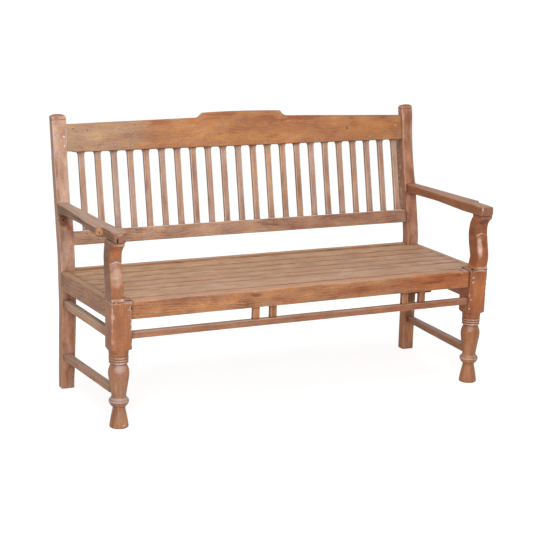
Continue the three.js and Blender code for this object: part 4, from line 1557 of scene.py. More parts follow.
@dataclass
class FrontLeg(EndPiece):
    """A front leg: turning, square block and curved arm support, of one timber.

    Attributes:
        widest: Widest radius of the turning.
        block_height: Height of the square block.
        block_proud: How far the block stands above the seat.
        support_width: Width of the arm support.
        sweep: How far its front hollows.
        gable_rise: Height of the point at the top of its facing.
        capital_height: Height of the capital.
        capital_proud: How far the capital stands forward of the block.
        right_sweep: The hollow of the right support's front, which is shallower.
        right_belly: How far the right facing swells forward.
        crooked: How far the legs stand off their place at most.
        rear_swell: How much deeper the supports are than their outline at the block.
        outer_swell: How far the outer face of a support swells.
        heel: How far a support's rear runs out over the block.
        right_broad: How much broader the right facing is on its inner side.
    """

    widest: float = 0.036
    block_height: float = 0.171
    block_proud: float = 0.002
    support_width: float = 0.044
    sweep: float = 0.023
    gable_rise: float = 0.0094
    capital_height: float = 0.013
    capital_proud: float = 0.005
    right_sweep: float = 0.020
    right_belly: float = 0.002
    crooked: float = 0.0025
    rear_swell: float = 0.006
    outer_swell: float = 0.003
    heel: float = 0.008
    right_broad: float = 0.003

    @property
    def node(self) -> str:
        """The node that it stands for."""
        return f"front_leg_{self.side.word}"

    @property
    def tint(self) -> float:
        """The leaning of its colour; the right leg is of redder wood."""
        return 0.9 if self.right else 0.0

    @property
    def arris_wear(self) -> float:
        """How rubbed the block's corners are."""
        return 0.3 if self.right else 0.45

    @property
    def block_top(self) -> float:
        """Height of the block's top."""
        return self.layout.seat + self.block_proud

    @property
    def block_bottom(self) -> float:
        """Height where the turning starts."""
        return self.block_top - self.block_height

    def profile(self) -> list[tuple[float, float]]:
        """Draws the turning from the floor up.

        Returns:
            Points with their height and radius, as shares of the turning's height and widest radius.
        """
        foot = smooth_row([
            (0, 0.83), (0.006, 0.885), (0.02, 0.91), (0.08, 0.85), (0.16, 0.735), (0.235, 0.615),
            (0.268, 0.605)], 4)
        bead = smooth_row([
            (0.278, 0.72), (0.288, 0.79), (0.304, 0.86), (0.324, 0.94), (0.34, 0.967), (0.356, 0.945),
            (0.37, 0.87), (0.38, 0.80), (0.386, 0.74)], 3)
        vase = smooth_row([
            (0.41, 0.69), (0.51, 0.81), (0.62, 0.94), (0.685, 1), (0.735, 0.985), (0.775, 0.9),
            (0.8, 0.81), (0.816, 0.74)], 4)

        reeds = []
        for i in range(3):
            low, radius = blend(0.826, 0.922, i / 3), blend(0.86, 0.89, i / 3)
            turns = [k / 8 * math.pi for k in range(1 if i else 0, 9)]
            reeds += [(blend(low, low + 0.032, (1 - math.cos(a)) / 2), radius + 0.07 * math.sin(a))
                      for a in turns]
        return [*foot, *bead, *vase, *reeds, (0.929, 0.9), (0.936, 0.93), (0.955, 0.945), (1.0, 0.96)]

    def turned_wear(self, height: float) -> float:
        """Finds the rubbed crests and darkened quirks of the turning.

        Args:
            height: A height over the floor.

        Returns:
            The wear there, or the darkening where it is negative.
        """
        share = height / self.block_bottom
        quirks = (0.271, 0.393, 0.82, 0.858, 0.89, 0.924)
        crests = (0.345, 0.842, 0.874, 0.906)
        darkening = max(math.exp(-(((share - at) / 0.0065) ** 2)) for at in quirks)
        rub = max(math.exp(-(((share - at) / 0.009) ** 2)) for at in crests)
        return -darkening if darkening > rub else 0.85 * rub

    def ledge_wear(self, height: float) -> float:
        """How rubbed the upper rim of the block is, by its height."""
        return 0.95 * ease(self.block_top - 0.011, self.block_top - 0.004, height)

    def drift(self, height: float) -> float:
        """Finds how far the leg, which isn't quite upright, stands off its place along X.

        Args:
            height: A height over the floor.

        Returns:
            The distance there.
        """
        if self.right:
            return self.crooked * ease(0.75 * self.block_top, self.block_top, height)
        return self.crooked * max(0.0, 1 - height / self.block_bottom)

    def pommel(self, height: float) -> float:
        """Finds the radius to which the block's lower corners are turned.

        Args:
            height: A height over the floor.

        Returns:
            The radius there.
        """
        flare = [(0.955, 0.945), (0.985, 0.96), (0.996, 1.0), (1.003, 1.12), (1.014, 1.32), (1.024, 1.5),
                 (1.028, 1.7)]
        return self.widest * value_along(flare, height / self.block_bottom, 1)

    def lower(self) -> Timber:
        """Shapes the turning and the block.

        Returns:
            Both as one timber.
        """
        lay = self.layout
        half_x = (lay.leg_outer - lay.leg_inner) / 2
        half_y = lay.leg_depth / 2
        axis = Vector((self.side.value * (lay.leg_inner + half_x), lay.front + half_y, 0))
        rows = [(h * self.block_bottom, r * self.widest) for h, r in self.profile()]
        turned_top = 0.955 * self.block_bottom

        def place(z: float, across: float, deep: float) -> Vector:
            """A point of the block, or of the turning, whose outline is drawn in to a circle."""
            away = Vector((across, deep))
            limit = value_along(rows, z, 1) if z <= turned_top else self.pommel(z)
            if z <= turned_top or away.length > limit:
                away = away.normalized() * limit
            return axis + Vector((self.side.value * away.x + self.drift(z), away.y, z))

        marks = sorted({
            *(h for h, _ in rows if h < turned_top), turned_top,
            *spaced(turned_top + 0.0005, 1.06 * self.block_bottom, 0.0012),
            *spaced(1.065 * self.block_bottom, self.block_top - 0.001, 0.005), self.block_top})
        return Timber(
            self.node, Slot.LEG, place,
            lambda z: rectangle((-half_x, half_x), (-half_y, half_y), 0.0035), marks,
            ends=(End.OPEN, End.WORN), grid=Grid(arc=4, flat=9, rim=0.0035), soften=0.0055,
            nicks=self.dents(),
            boost=lambda z, across, deep: self.turned_wear(z) if z < turned_top else self.ledge_wear(z),
            cornered=lambda z: self.arris_wear * ease(turned_top, 1.06 * self.block_bottom, z),
            tint=self.tint)

    def dents(self) -> tuple[Nick, ...]:
        """Dents the front corners of the block; the left one has seen more knocks.

        Returns:
            The dents.
        """
        lay, sign = self.layout, self.side.value
        number, depth = (6, 0.002) if self.right else (34, 0.0055)
        made = []
        for i in range(number):
            x = lay.leg_inner if i % 2 else lay.leg_outer
            share = 0.55 + 0.8 * noise.noise(Vector((i * 1.37, sign * 3.1, 0.4)))
            size = 0.4 + 0.6 * abs(noise.noise(Vector((i * 2.11, 5.5, sign))))
            z = blend(self.block_bottom + 0.02, self.block_top, share)
            made.append(Nick(Vector((sign * x, lay.front, z)), 0.014 * size, depth * size))
        return tuple(made)

    def build(self) -> None:
        """Makes the leg."""
        lower = self.lower().build()
        upper = self.support().build()
        bpy.context.view_layer.update()
        with bpy.context.temp_override(
                active_object=lower, selected_editable_objects=[lower, upper], object=lower):
            bpy.ops.object.join()
        settle(lower, self.materials[Slot.LEG], Slot.LEG, self.node)

    def support(self) -> Timber:
        """Shapes the curved support with its ridged facing, gable and capital.

        Returns:
            The support as one timber.
        """
        lay, right = self.layout, self.right
        inner, outer = lay.leg_outer - self.support_width, lay.leg_outer
        middle, half = (inner + outer) / 2, self.support_width / 2
        top = lay.seat + ARM_RISE - ARM_THICKNESS - FIT_GAP + (RIGHT_ARM_LIFT if right else 0.0)
        height = top - self.capital_height - self.block_top
        sweep = self.right_sweep if right else self.sweep
        belly = self.right_belly if right else 0.0
        # Shares of the height, and of the sweep and the depth where the front and the rear lie.
        body = smooth_row([
            (0, 0.5, 0.97), (0.03, 0.5, 0.92), (0.08, 0.5, 0.88), (0.223, 0.5, 0.9), (0.362, 0.72, 0.93),
            (0.5, 0.9, 0.97), (0.6, 0.98, 0.99), (0.69, 1, 1.01), (0.8, 0.98, 1.01), (0.88, 0.82, 0.98),
            (0.945, 0.42, 0.94), (1, -0.1, 0.9)], 4)
        # Shares of the height, and of the sweep where the facing's ridge and its edges lie.
        facing = smooth_row([
            (0, 0.02, 0.03), (0.022, 0.05, 0.08), (0.045, 0.17, 0.26), (0.06, 0.16, 0.26), (0.1, 0.07, 0.19),
            (0.17, 0, 0.15), (0.28, 0.04, 0.21), (0.38, 0.25, 0.42),
            (0.52, 0.54, 0.71), (0.63, 0.73, 0.9), (0.72, 0.88, 1.05)], 4)
        # Shares of the height, and how much further back the support's rear lies there.
        strayed_rear = [(0.0, 0)]
        if right:
            strayed_rear = [
                (0.06, 0), (0.107, -0.003), (0.17, -0.009), (0.23, -0.012), (0.36, -0.0075),
                (0.48, -0.003), (0.61, -0.0015), (0.74, -0.0025), (0.86, -0.005), (1.0, -0.0115)]
        eaves = 0.66
        ledge = 0.0008 / height
        cap = self.capital_height / height

        def swell(h: float) -> float:
            """How far the facing swells forward."""
            return belly * math.exp(-(((h - 0.25) / 0.16) ** 2))

        def depths(h: float) -> tuple[float, float, float]:
            """Depths of the ridge, of the front edges and of the rear."""
            rear = value_along(body, h, 2) * lay.leg_depth + self.rear_swell * ease(-0.01, 0.05, h)
            heel = self.heel * (0.4 if right else 1.0) * ease(0.08, 0.02, h)
            rear += heel + value_along(strayed_rear, h, 1)
            if h > 1:
                return -self.capital_proud, -self.capital_proud, rear
            flat = value_along(body, h, 1) * sweep
            if h > eaves:
                return flat, flat, rear
            ridge = value_along(facing, h, 1) * sweep - swell(h)
            edge = (value_along(facing, h, 2) - 0.06 * ease(0.08, 0.25, h)) * sweep - swell(h)
            return ridge, max(ridge, edge), rear

        def section(h: float) -> list[Corner]:
            """Its outline, ridged below the eaves."""
            ridge, edge, rear = depths(h)
            if h <= eaves:
                rise = self.gable_rise / height
                tip = value_along(facing, h + rise * ease(0.3, eaves, h), 1) * sweep
                ridge = min(ridge, tip - swell(h))
            soft = 0.0012 if h > 1 else 0.0025
            foot = half + 0.0055 * math.exp(-max(h, 0.0) / 0.022)
            foot += self.right_broad * ease(0.03, 0.2, h) if right and h < 1 else 0.0
            far = half + self.outer_swell * ease(0.05, 0.5, h)
            return [
                Corner(0, ridge, 0.001 if h <= eaves else 0.0002), Corner(far, edge, soft),
                Corner(far, rear, 0.003), Corner(-foot, rear, 0.003), Corner(-foot, edge, soft)]

        def lift(h: float) -> float:
            """How much of the gable's rise the ridge has."""
            return ease(0.3, eaves, h) if h <= eaves else 1 - ease(eaves + ledge, 0.84, h)

        def place(h: float, across: float, deep: float) -> Vector:
            """A point of the support, lifted along the ridge of the gable."""
            tent = max(0.0, 1 - abs(across) / half)
            front = 1 - ease(0.45 * lay.leg_depth, 0.7 * lay.leg_depth, deep)
            z = self.block_top + h * height + self.gable_rise * tent * lift(h) * front
            return Vector((self.side.value * (middle + across) + self.drift(z), lay.front + deep, z))

        def boost(h: float, across: float, deep: float) -> float:
            """Rubbed foot and capital, the eaves rubbed and brightened with a painted highlight, and painted
            shade in the hollow above the gable and under the capital.
            """
            if deep > 0.6 * lay.leg_depth or abs(across) > half - 0.0006:
                return 0.0
            if h < 0.05:
                return 0.6
            if 1 < h < 1 + 0.9 * cap:
                return 0.35 if right else 0.6
            # Painted shade in the hollow just above the gable and under the capital.
            if eaves + 0.016 < h < 1.0001:
                return -0.45 * ease(eaves + 0.1, eaves + 0.02, h) - 0.9 * ease(0.965, 0.995, h)
            # The eaves: wear together with a painted highlight along the gable.
            return max(0.0, 1 - abs(h - eaves - ledge / 2) / 0.024)

        marks = [
            -0.015, *spaced(0.0, 0.065, 0.0075), *spaced(0.08, eaves - 0.012, 0.02), eaves - 0.004, eaves,
            eaves + ledge, eaves + 0.008, *spaced(eaves + 0.02, 0.99, 0.02), 1.0, 1.0001,
            *(1 + share * cap for share in (0.08, 0.2, 0.5, 1))]
        # Full corner wear at the eaves is part of that painted highlight along the gable.
        return Timber(
            self.node, Slot.LEG, place, section, marks,
            grid=Grid(flat=2, rim=0.0025), uneven=0.0003, boost=boost, tint=self.tint,
            cornered=lambda h: 1.0 if abs(h - eaves) < 0.01 else 0.3)


@dataclass
class Arm(EndPiece):
    """A flat arm that widens behind its neck and ends in a blunt nose.

    Attributes:
        rear_thickness: Thickness at the post.
        nose: How far it runs past the front of the leg.
        nose_inset: From the leg's outer face to the nose's.
        width: Width at the nose.
        neck: From the leg's front to where it starts to widen.
        ear: From the leg's front to the corner of the wide stretch.
        ear_proud: How far that corner stands out past the leg.
        climb: How far its top rises towards the post.
        right_shift: How much further out the right arm's nose lies.
        right_wide: How much wider the right arm is there.
    """

    rear_thickness: float = 0.031
    nose: float = 0.015
    nose_inset: float = 0.0035
    width: float = 0.043
    neck: float = 0.089
    ear: float = 0.112
    ear_proud: float = 0.022
    climb: float = 0.0045
    right_shift: float = 0.0062
    right_wide: float = 0.0085

    def timber(self) -> Timber:
        """Shapes the arm.

        Returns:
            The arm as one timber.
        """
        lay, right = self.layout, self.right
        top = lay.seat + ARM_RISE
        lift = RIGHT_ARM_LIFT if right else 0.0
        outer = lay.leg_outer - self.nose_inset + (self.right_shift if right else 0.0)
        inner = outer - self.width - (self.right_wide if right else 0.0)
        ear = lay.leg_outer + self.ear_proud
        back = lay.post_front - lay.front
        half_way = (self.ear + back) / 2
        rear_inner = lay.post_inner + 0.005
        # Depth from the leg's front, inner face, outer face, thickness and chamfer under the outer edge.
        plan = [
            (-self.nose, inner, outer, ARM_THICKNESS, 0.005),
            (self.neck, inner, outer, ARM_THICKNESS, 0.005),
            (self.ear, inner, ear, ARM_THICKNESS, 0.014),
            (half_way, (inner + rear_inner) / 2, (ear + lay.post_outer) / 2, self.rear_thickness, 0.014),
            (back, rear_inner, lay.post_outer, self.rear_thickness + self.climb, 0.005),
            (back + 0.06, rear_inner, lay.post_outer, self.rear_thickness + self.climb, 0.005)]
        meeting = lay.on_back(0, -FIT_GAP, (top - lay.bend) / math.cos(lay.rake)).y - lay.front

        def section(d: float) -> list[Corner]:
            """Its outline, whose outer edge is chamfered from below."""
            near, far, thick, under = (value_along(plan, d, i) for i in (1, 2, 3, 4))
            if self.neck < d < self.ear:
                far = blend(outer, ear, ease(self.neck, self.ear, d))
            high = top + blend(lift, self.climb, ease(self.ear, back, d))
            low = high - thick
            eased = blend(0.009, 0.004, ease(-0.01, 0.04, d))
            return [
                Corner(near, low, 0.0045), Corner(near, high, 0.004), Corner(far, high, eased),
                Corner(far, low + under, 0.0025), Corner(far - under, low, 0.0025)]

        def place(d: float, across: float, z: float) -> Vector:
            """A point of the arm, whose rear end follows the leaning post."""
            lean = math.tan(lay.rake) * (z - top) * ease(0.75 * meeting, meeting, d)
            return Vector((self.side.value * across, lay.front + d + lean, z))

        marks = [
            *spaced(-self.nose, self.neck - 0.0006, 0.01), *spaced(self.neck, self.ear, 0.003),
            *spaced(self.ear + 0.0006, meeting, STEP)]
        return Timber(
            f"arm_{self.side.word}", Slot.ARM, place, section, marks, ends=(End.WORN, End.BUTT),
            grid=Grid(arc=4, flat=1, rim=0.002), uneven=0.0006, soften=0.003,
            tint=0.8 if right else 0.0)

    def build(self) -> None:
        """Makes the arm."""
        self.dress(self.timber())


@dataclass
class SeatFrame(SubAssembly):
    """Seat rails, seat boards and the bearers under them.

    Attributes:
        housing: How far the boards run onto the side rails.
        board_thickness: Thickness of the boards.
        board_count: Number of boards.
        bearer_count: Number of bearers.
    """

    housing: float = 0.018
    board_thickness: float = 0.018
    board_count: int = 6
    bearer_count: int = 2

    def front_rail(self) -> Timber:
        """Shapes the front seat rail, its upper front edge rounded over.

        Returns:
            The rail.
        """
        low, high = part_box("front_seat_rail")
        end = self.layout.leg_inner - FIT_GAP

        def section(x: float) -> list[Corner]:
            """Its outline, with a lower edge that wavers."""
            wave = 0.0012 * (1 + noise.noise(Vector((x * 9, 2.2, 0)))) / 2
            return [
                Corner(low.y, low.z + wave, 0.003), Corner(high.y, low.z, 0.002),
                Corner(high.y, high.z, 0.003), Corner(low.y, high.z, 0.0065)]

        return Timber(
            "front_seat_rail", Slot.RAIL, along_bench, section,
            spaced(-end, end, 0.01), grid=Grid(arc=4, flat=3), uneven=0.0008)

    def rear_rail(self) -> Timber:
        """Shapes the rear seat rail.

        Returns:
            The rail.
        """
        low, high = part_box("rear_seat_rail")
        end = self.layout.post_inner - FIT_GAP
        return Timber(
            "rear_seat_rail", Slot.SEAT, along_bench,
            lambda x: rectangle((low.y, high.y), (low.z, high.z), 0.003), spaced(-end, end, 0.014),
            grid=Grid(flat=2))

    def side_rail(self, side: Side) -> Timber:
        """Shapes a side rail with the housing for the board ends.

        Args:
            side: Which end of the bench it is at.

        Returns:
            The rail.
        """
        lay = self.layout
        low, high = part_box(f"side_seat_rail_{side.word}")
        rear = lay.post_front - FIT_GAP
        step = SIDE_RAIL_THICKNESS - self.housing
        floor = high.z - self.board_thickness - FIT_GAP

        def place(y: float, inset: float, z: float) -> Vector:
            """A point of the rail, which runs in towards the front."""
            return Vector((side.value * (lay.side_outer(y) - inset), y, z))

        def section(y: float) -> list[Corner]:
            """Its outline, stepped down under the boards."""
            return [
                Corner(0, low.z, 0.003), Corner(0, high.z, 0.003), Corner(step, high.z, 0.0015),
                Corner(step, floor, 0.0003), Corner(SIDE_RAIL_THICKNESS, floor, 0.001),
                Corner(SIDE_RAIL_THICKNESS, low.z, 0.002)]

        def boost(y: float, inset: float, z: float) -> float:
            """Grime along the upper outer edge of the right rail."""
            return -0.9 if side is Side.RIGHT and inset < 0.0035 and z > high.z - 0.004 else 0.0

        marks = spaced(lay.behind_leg, rear, STEP)
        return Timber(f"side_seat_rail_{side.word}", Slot.RAIL, place, section, marks,
                      grid=Grid(flat=2), tint=-0.5, boost=boost)

    def board(self, i: int) -> Timber:
        """Shapes a seat board.

        Args:
            i: Its number from the front, from nought.

        Returns:
            The board, notched round the leg blocks if it is the front one.
        """
        lay = self.layout
        node = f"seat_board_{i + 1:02d}"
        low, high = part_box(node)
        notch = lay.behind_leg
        notched = low.y < notch

        def end(y: float) -> float:
            """X of the board's right end."""
            return lay.side_outer(y) - SIDE_RAIL_THICKNESS + self.housing - FIT_GAP

        def place(share: float, y: float, z: float) -> Vector:
            """A point of the board, whose ends run in towards the front."""
            return Vector((share * end(y), y, z))

        start = (lay.leg_inner - FIT_GAP) / end(notch)

        def section(share: float) -> list[Corner]:
            """Its outline, set back at the notches."""
            front = notch if notched and abs(share) > start else low.y
            round_front = 0.006 if i else 0.004
            return [
                Corner(front, low.z, 0.001), Corner(high.y, low.z, 0.001),
                Corner(high.y, high.z, 0.005), Corner(front, high.z, round_front)]

        def boost(share: float, y: float, z: float) -> float:
            """Painted shade in the joints between the boards, and rubbed stretches beside it."""
            if z < high.z - 0.006:
                return 0.0
            wander = 1 + 0.6 * noise.noise(Vector((share * 9, i * 3.3, y > low.y + 0.02)))
            near = max(0.0, min(y - low.y if i else 1.0, high.y - y))
            # Painted shade along the joint.
            if near < 0.0024 * wander:
                uneven = 0.4 * noise.noise(Vector((share * 5, i * 1.7, 8.2)))
                return -(0.45 + uneven + (0.3 if i > 3 else 0.0))
            return 0.95 * math.exp(-(near - 0.0024 * wander) / (0.0048 * wander))

        marks = spaced(-1, 1, 0.02)
        if notched:
            marks = [*spaced(-1, -start - 1e-5, 0.02), *spaced(-start, start, 0.02),
                     *spaced(start + 1e-5, 1, 0.02)]
        return Timber(
            node, Slot.SEAT, place, section, marks, grid=Grid(arc=4, flat=5, rim=0.006),
            uneven=0.0006, tint=1.2 * noise.noise(Vector((i * 1.9, 3.3, 0))), boost=boost, grimy=0.35)

    def bearer(self, i: int) -> Timber:
        """Shapes a bearer under the boards.

        Args:
            i: Its number from the left, from nought.

        Returns:
            The bearer.
        """
        node = f"seat_bearer_{i + 1:02d}"
        low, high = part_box(node)
        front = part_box("front_seat_rail")[1].y + FIT_GAP
        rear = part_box("rear_seat_rail")[0].y - FIT_GAP
        return Timber(
            node, Slot.STRETCHER, lambda y, x, z: Vector((x, y, z)),
            lambda y: rectangle((low.x, high.x), (low.z, high.z), 0.002), spaced(front, rear, 0.02))

    def build(self) -> None:
        """Makes the seat."""
        self.dress(self.front_rail(), self.rear_rail(), *(self.side_rail(side) for side in Side))
        self.dress(*(self.board(i) for i in range(self.board_count)))
        self.dress(*(self.bearer(i) for i in range(self.bearer_count)))


# How far the foot of a side bar and then its top stray in height, each at the rear and at the front.
SLACK = {
    "side_stretcher_left": (-0.0052, -0.0092, 0.0, -0.0026),
    "side_stretcher_right": (-0.003, -0.005, 0.0, -0.002),
    "low_stretcher_left": (-0.004, 0.003, -0.004, 0.003),
    "low_stretcher_right": (0.001, -0.011, 0.001, -0.0045)}


@dataclass
class Underframe(SubAssembly):
    """Stretchers, and the short spacers above the front one.

    Attributes:
        side_thickness: Thickness of the side stretchers.
        low_width: Width of the low stretchers.
        low_bite: From the leg's axis to the front end of a low stretcher.
        spacer_count: Number of spacers.
    """

    side_thickness: float = 0.026
    low_width: float = 0.028
    low_bite: float = 0.019
    spacer_count: int = 4

    def front_stretcher(self) -> Timber:
        """Shapes the stretcher under the front rail.

        Returns:
            The stretcher.
        """
        low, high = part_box("front_stretcher")
        end = self.layout.leg_inner - FIT_GAP
        return Timber(
            "front_stretcher", Slot.STRETCHER, along_bench,
            lambda x: rectangle((low.y, high.y), (low.z, high.z), 0.0028), spaced(-end, end, STEP))

    def spacer(self, i: int) -> Timber:
        """Shapes a short upright between the front rail and its stretcher.

        Args:
            i: Its number from the left, from nought.

        Returns:
            The spacer.
        """
        node = f"front_spacer_{i + 1:02d}"
        low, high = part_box(node)
        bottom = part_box("front_stretcher")[1].z + FIT_GAP
        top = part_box("front_seat_rail")[0].z - FIT_GAP
        return Timber(
            node, Slot.LEG, lambda z, x, y: Vector((x, y, z)),
            lambda z: rectangle((low.x - 0.001, high.x + 0.001), (low.y, high.y), 0.0018),
            spaced(bottom, top, 0.006))

    def side_bar(self, node: str, side: Side, width: float, front: float) -> Timber:
        """Shapes a stretcher that runs from a front leg to a rear post.

        Args:
            node: The node that it stands for.
            side: Which end of the bench it is at.
            width: Its width.
            front: Y of its front end.

        Returns:
            The stretcher.
        """
        lay = self.layout
        low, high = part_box(node)
        inset = (SIDE_RAIL_THICKNESS - width) / 2
        foot_rear, foot_front, top_rear, top_front = SLACK[node]

        def place(y: float, across: float, z: float) -> Vector:
            """A point of the bar, which is centred under the side rail."""
            return Vector((side.value * (lay.side_outer(y) - inset - across), y, z))

        def section(y: float) -> list[Corner]:
            """Its outline, between a foot and a top that aren't quite level."""
            share = (lay.post_front - y) / (lay.post_front - front)
            rise = low.z + blend(foot_rear, foot_front, share), high.z + blend(top_rear, top_front, share)
            return rectangle((0, width), rise, 0.0028)

        return Timber(
            node, Slot.STRETCHER, place, section, spaced(front, lay.post_front - FIT_GAP, STEP), tint=-0.3)

    def build(self) -> None:
        """Makes the underframe."""
        lay = self.layout
        self.dress(self.front_stretcher(), *(self.spacer(i) for i in range(self.spacer_count)))
        in_turning = lay.front + lay.leg_depth / 2 + self.low_bite
        for side in Side:
            self.dress(
                self.side_bar(f"side_stretcher_{side.word}", side, self.side_thickness, lay.behind_leg),
                self.side_bar(f"low_stretcher_{side.word}", side, self.low_width, in_turning))


@dataclass
class Head:
    """A small round head, of a peg or a nail, that stands just proud of a face.

    Attributes:
        centre: The middle of it, on the face.
        out: The direction out of the face.
        radius: Its radius.
        proud: How far it stands out.
        dull: How far its colour has gone that of the wood round it.
        ring: How dark the painted shade of the gap round it is.
        sides: Number of its sides.
    """

    centre: Vector
    out: Vector
    radius: float
    proud: float
    dull: float = 0.0
    ring: float = 0.6
    sides: int = 14

    def add_to(self, made: bmesh.types.BMesh) -> None:
        """Adds the head to a mesh as a closed, slightly irregular dome.

        Args:
            made: The mesh.
        """
        layer = made.verts.layers.float.get("dull") or made.verts.layers.float.new("dull")
        gap_shade_layer = made.verts.layers.float.get("rim") or made.verts.layers.float.new("rim")
        first = len(made.verts)
        level = self.out.orthogonal().normalized()
        other = self.out.cross(level)
        # Shares of the radius and of how far the head stands out.
        shape = [(1.3, -1.5), (1.28, 0.1), (1.04, 0.2), (1.0, 0.45), (0.86, 0.8), (0.5, 1.0)]
        rows = []
        for reach, lift in shape:
            row = []
            for k in range(self.sides):
                a = 2 * math.pi * k / self.sides
                around = level * math.cos(a) + other * math.sin(a)
                jitter = 1 + 0.07 * noise.noise(self.centre * 90 + around * 1.7)
                row.append(made.verts.new(
                    self.centre + around * self.radius * reach * jitter + self.out * self.proud * lift))
            rows.append(row)
        for lower, upper in zip(rows, rows[1:]):
            for k in range(self.sides):
                made.faces.new((lower[k - 1], lower[k], upper[k], upper[k - 1]))
        made.faces.new(rows[0])
        hub = made.verts.new(self.centre + self.out * self.proud * 1.02)
        for k in range(self.sides):
            made.faces.new((rows[-1][k - 1], rows[-1][k], hub))
        # The lowest three rows carry the painted shade of the gap round the head.
        for number, vert in enumerate(list(made.verts)[first:]):
            vert[layer] = self.dull
            vert[gap_shade_layer] = 0.0 if number >= 3 * self.sides else self.ring


@dataclass
class Fastenings(SubAssembly):
    """Pegs, slat pins and nails.

    Attributes:
        back: The back, which carries most of them.
        peg_radius: Radius of a peg.
        pin_radius: Radius of a slat pin.
        nail_radius: Radius of a nail head.
        tiny_radius: Radius of a small nail head.
        hole_radius: Radius of a filled hole.
        peg_proud: How far a peg stands out.
        nail_proud: How far a nail stands out.
        pin_proud: How far a slat pin stands out.
        hole_proud: How far the filling of a hole stands out.
    """

    back: Back
    peg_radius: float = 0.0034
    pin_radius: float = 0.0016
    nail_radius: float = 0.0023
    tiny_radius: float = 0.0015
    hole_radius: float = 0.0026
    peg_proud: float = 0.0008
    nail_proud: float = 0.0006
    pin_proud: float = 0.0005
    hole_proud: float = 0.0007

    def group(self, name: str, heads: Sequence[Head], slot: Slot, *nodes: str) -> None:
        """Joins heads of one kind into a piece and dresses it.

        Args:
            name: The piece's name.
            heads: The heads in it.
            slot: The record's slot for its finish.
            nodes: The nodes that it stands for.
        """
        made = bmesh.new()
        for head in heads:
            head.add_to(made)
        settle(closed_piece(name, made), self.materials[slot], slot, *nodes)

    def on_back(self, x: float, rise: float, radius: float, proud: float) -> Head:
        """Puts a head on the front of the back: on a post, on the crest rail or on the lower rail.

        Args:
            x: Its place along the bench.
            rise: How far up the lean it is.
            radius: Its radius.
            proud: How far it stands out.

        Returns:
            The head.
        """
        inset = self.back.crest_inset if rise > self.back.crest_bottom else self.back.rail_inset
        if abs(x) > self.layout.post_inner:
            inset = 0.0
        return Head(self.layout.on_back(x, inset + 0.0004, rise), self.layout.off_back, radius, proud)

    def on_front(self, x: float, set_back: float, z: float, radius: float, proud: float) -> Head:
        """A head in a front face that is set back from the leg blocks'."""
        return Head(Vector((x, self.layout.front + set_back, z)), Vector((0, -1, 0)), radius, proud)

    def pegs(self) -> None:
        """The pegs through the main tenons, one piece for each node."""
        lay = self.layout
        for i in range(4):
            node = f"crest_peg_{i + 1:02d}"
            middle = sum(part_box(node), Vector()) / 2
            rise = (middle.z - lay.bend) / math.cos(lay.rake) + 0.0125 * math.tan(lay.rake)
            dull = 0.8 if middle.x > 0 else 0.0
            place = lay.on_back(middle.x, 0.0003, rise)
            head = Head(place, lay.off_back, self.peg_radius, self.peg_proud, dull, 0.6 - 0.5 * dull)
            self.group(f"{node}_head", [head], Slot.PEG, node)
        for i in range(4):
            node = f"front_peg_{i + 1:02d}"
            middle = sum(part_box(node), Vector()) / 2
            dull = 0.75 if middle.x < 0 else 0.0
            place = Vector((middle.x, lay.front + 0.0003, middle.z))
            head = Head(place, Vector((0, -1, 0)), self.peg_radius, self.peg_proud, dull)
            self.group(f"{node}_head", [head], Slot.PEG, node)

    def slat_pins(self) -> None:
        """The pins that hold the slats in both rails."""
        back = self.back
        # For each row of pins its height up the back and what tells its wandering from the other's.
        rows = {
            "slat_pins_upper": (back.crest_bottom + 0.013, 1.5, 6.5),
            "slat_pins_lower": (back.lower_rise + back.lower_height - 0.012, 2.5, 8.5)}
        for name, (rise, aside, up) in rows.items():
            pins = []
            for i, x in enumerate(back.slat_places):
                shift, lift = (0.003 * noise.noise(Vector((i * 4.1, row, 0))) for row in (aside, up))
                pins.append(self.on_back(x + shift, rise + lift, self.pin_radius, self.pin_proud))
            self.group(name, pins, Slot.IRON)

    def nails(self) -> None:
        """Nails and filled holes, where the photograph shows them and likewise at the other end."""
        lay, small, tiny = self.layout, self.nail_radius, self.tiny_radius
        # Places along the bench and up the back, from the crest rail to the lower rail and the posts.
        back = [
            (-0.6807, 0.4746, small), (-0.6278, 0.4690, small), (0.6287, 0.4241, tiny),
            (-0.4419, 0.4831, small), (-0.4180, 0.4746, tiny), (-0.1893, 0.4796, tiny),
            (-0.0817, 0.4756, tiny), (-0.610, self.back.lower_rise + 0.018, tiny),
            (-0.7296, 0.2994, small), (-0.7407, 0.2443, tiny), (0.7232, 0.4600, tiny),
            (0.7234, 0.4138, tiny), (0.7424, 0.3717, tiny), (0.7471, 0.2429, tiny)]
        rail = [(-0.4387, 0.4158), (0.4362, 0.4107)]
        block = [(0.685, 0.331), (0.6795, 0.297), (0.736, 0.439)]
        self.group("back_nails", [self.on_back(*nail, self.nail_proud) for nail in back], Slot.IRON)
        self.group(
            "rail_nails", [self.on_front(x, 0.0035, z, tiny, self.nail_proud) for x, z in rail], Slot.IRON)
        seat = []
        for i in range(1, SeatFrame.board_count):
            low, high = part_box(f"seat_board_{i + 1:02d}")
            for side in Side:
                for y in (blend(low.y, high.y, 0.25), blend(low.y, high.y, 0.75)):
                    place = Vector((side.value * (lay.side_outer(y) - 0.033), y, lay.seat - 0.0006))
                    seat.append(Head(place, Vector((0, 0, 1)), tiny, 0.0008))
        self.group("seat_nails", seat, Slot.IRON)
        proud = self.hole_proud
        self.group("filled_holes", [
            self.on_back(0.6805, 0.4459, 0.0028, proud),
            *(self.on_front(x, 0.0004, z, self.hole_radius, proud) for x, z in block)], Slot.PEG)

    def build(self) -> None:
        """Makes all the fastenings."""
        self.pegs()
        self.slat_pins()
        self.nails()


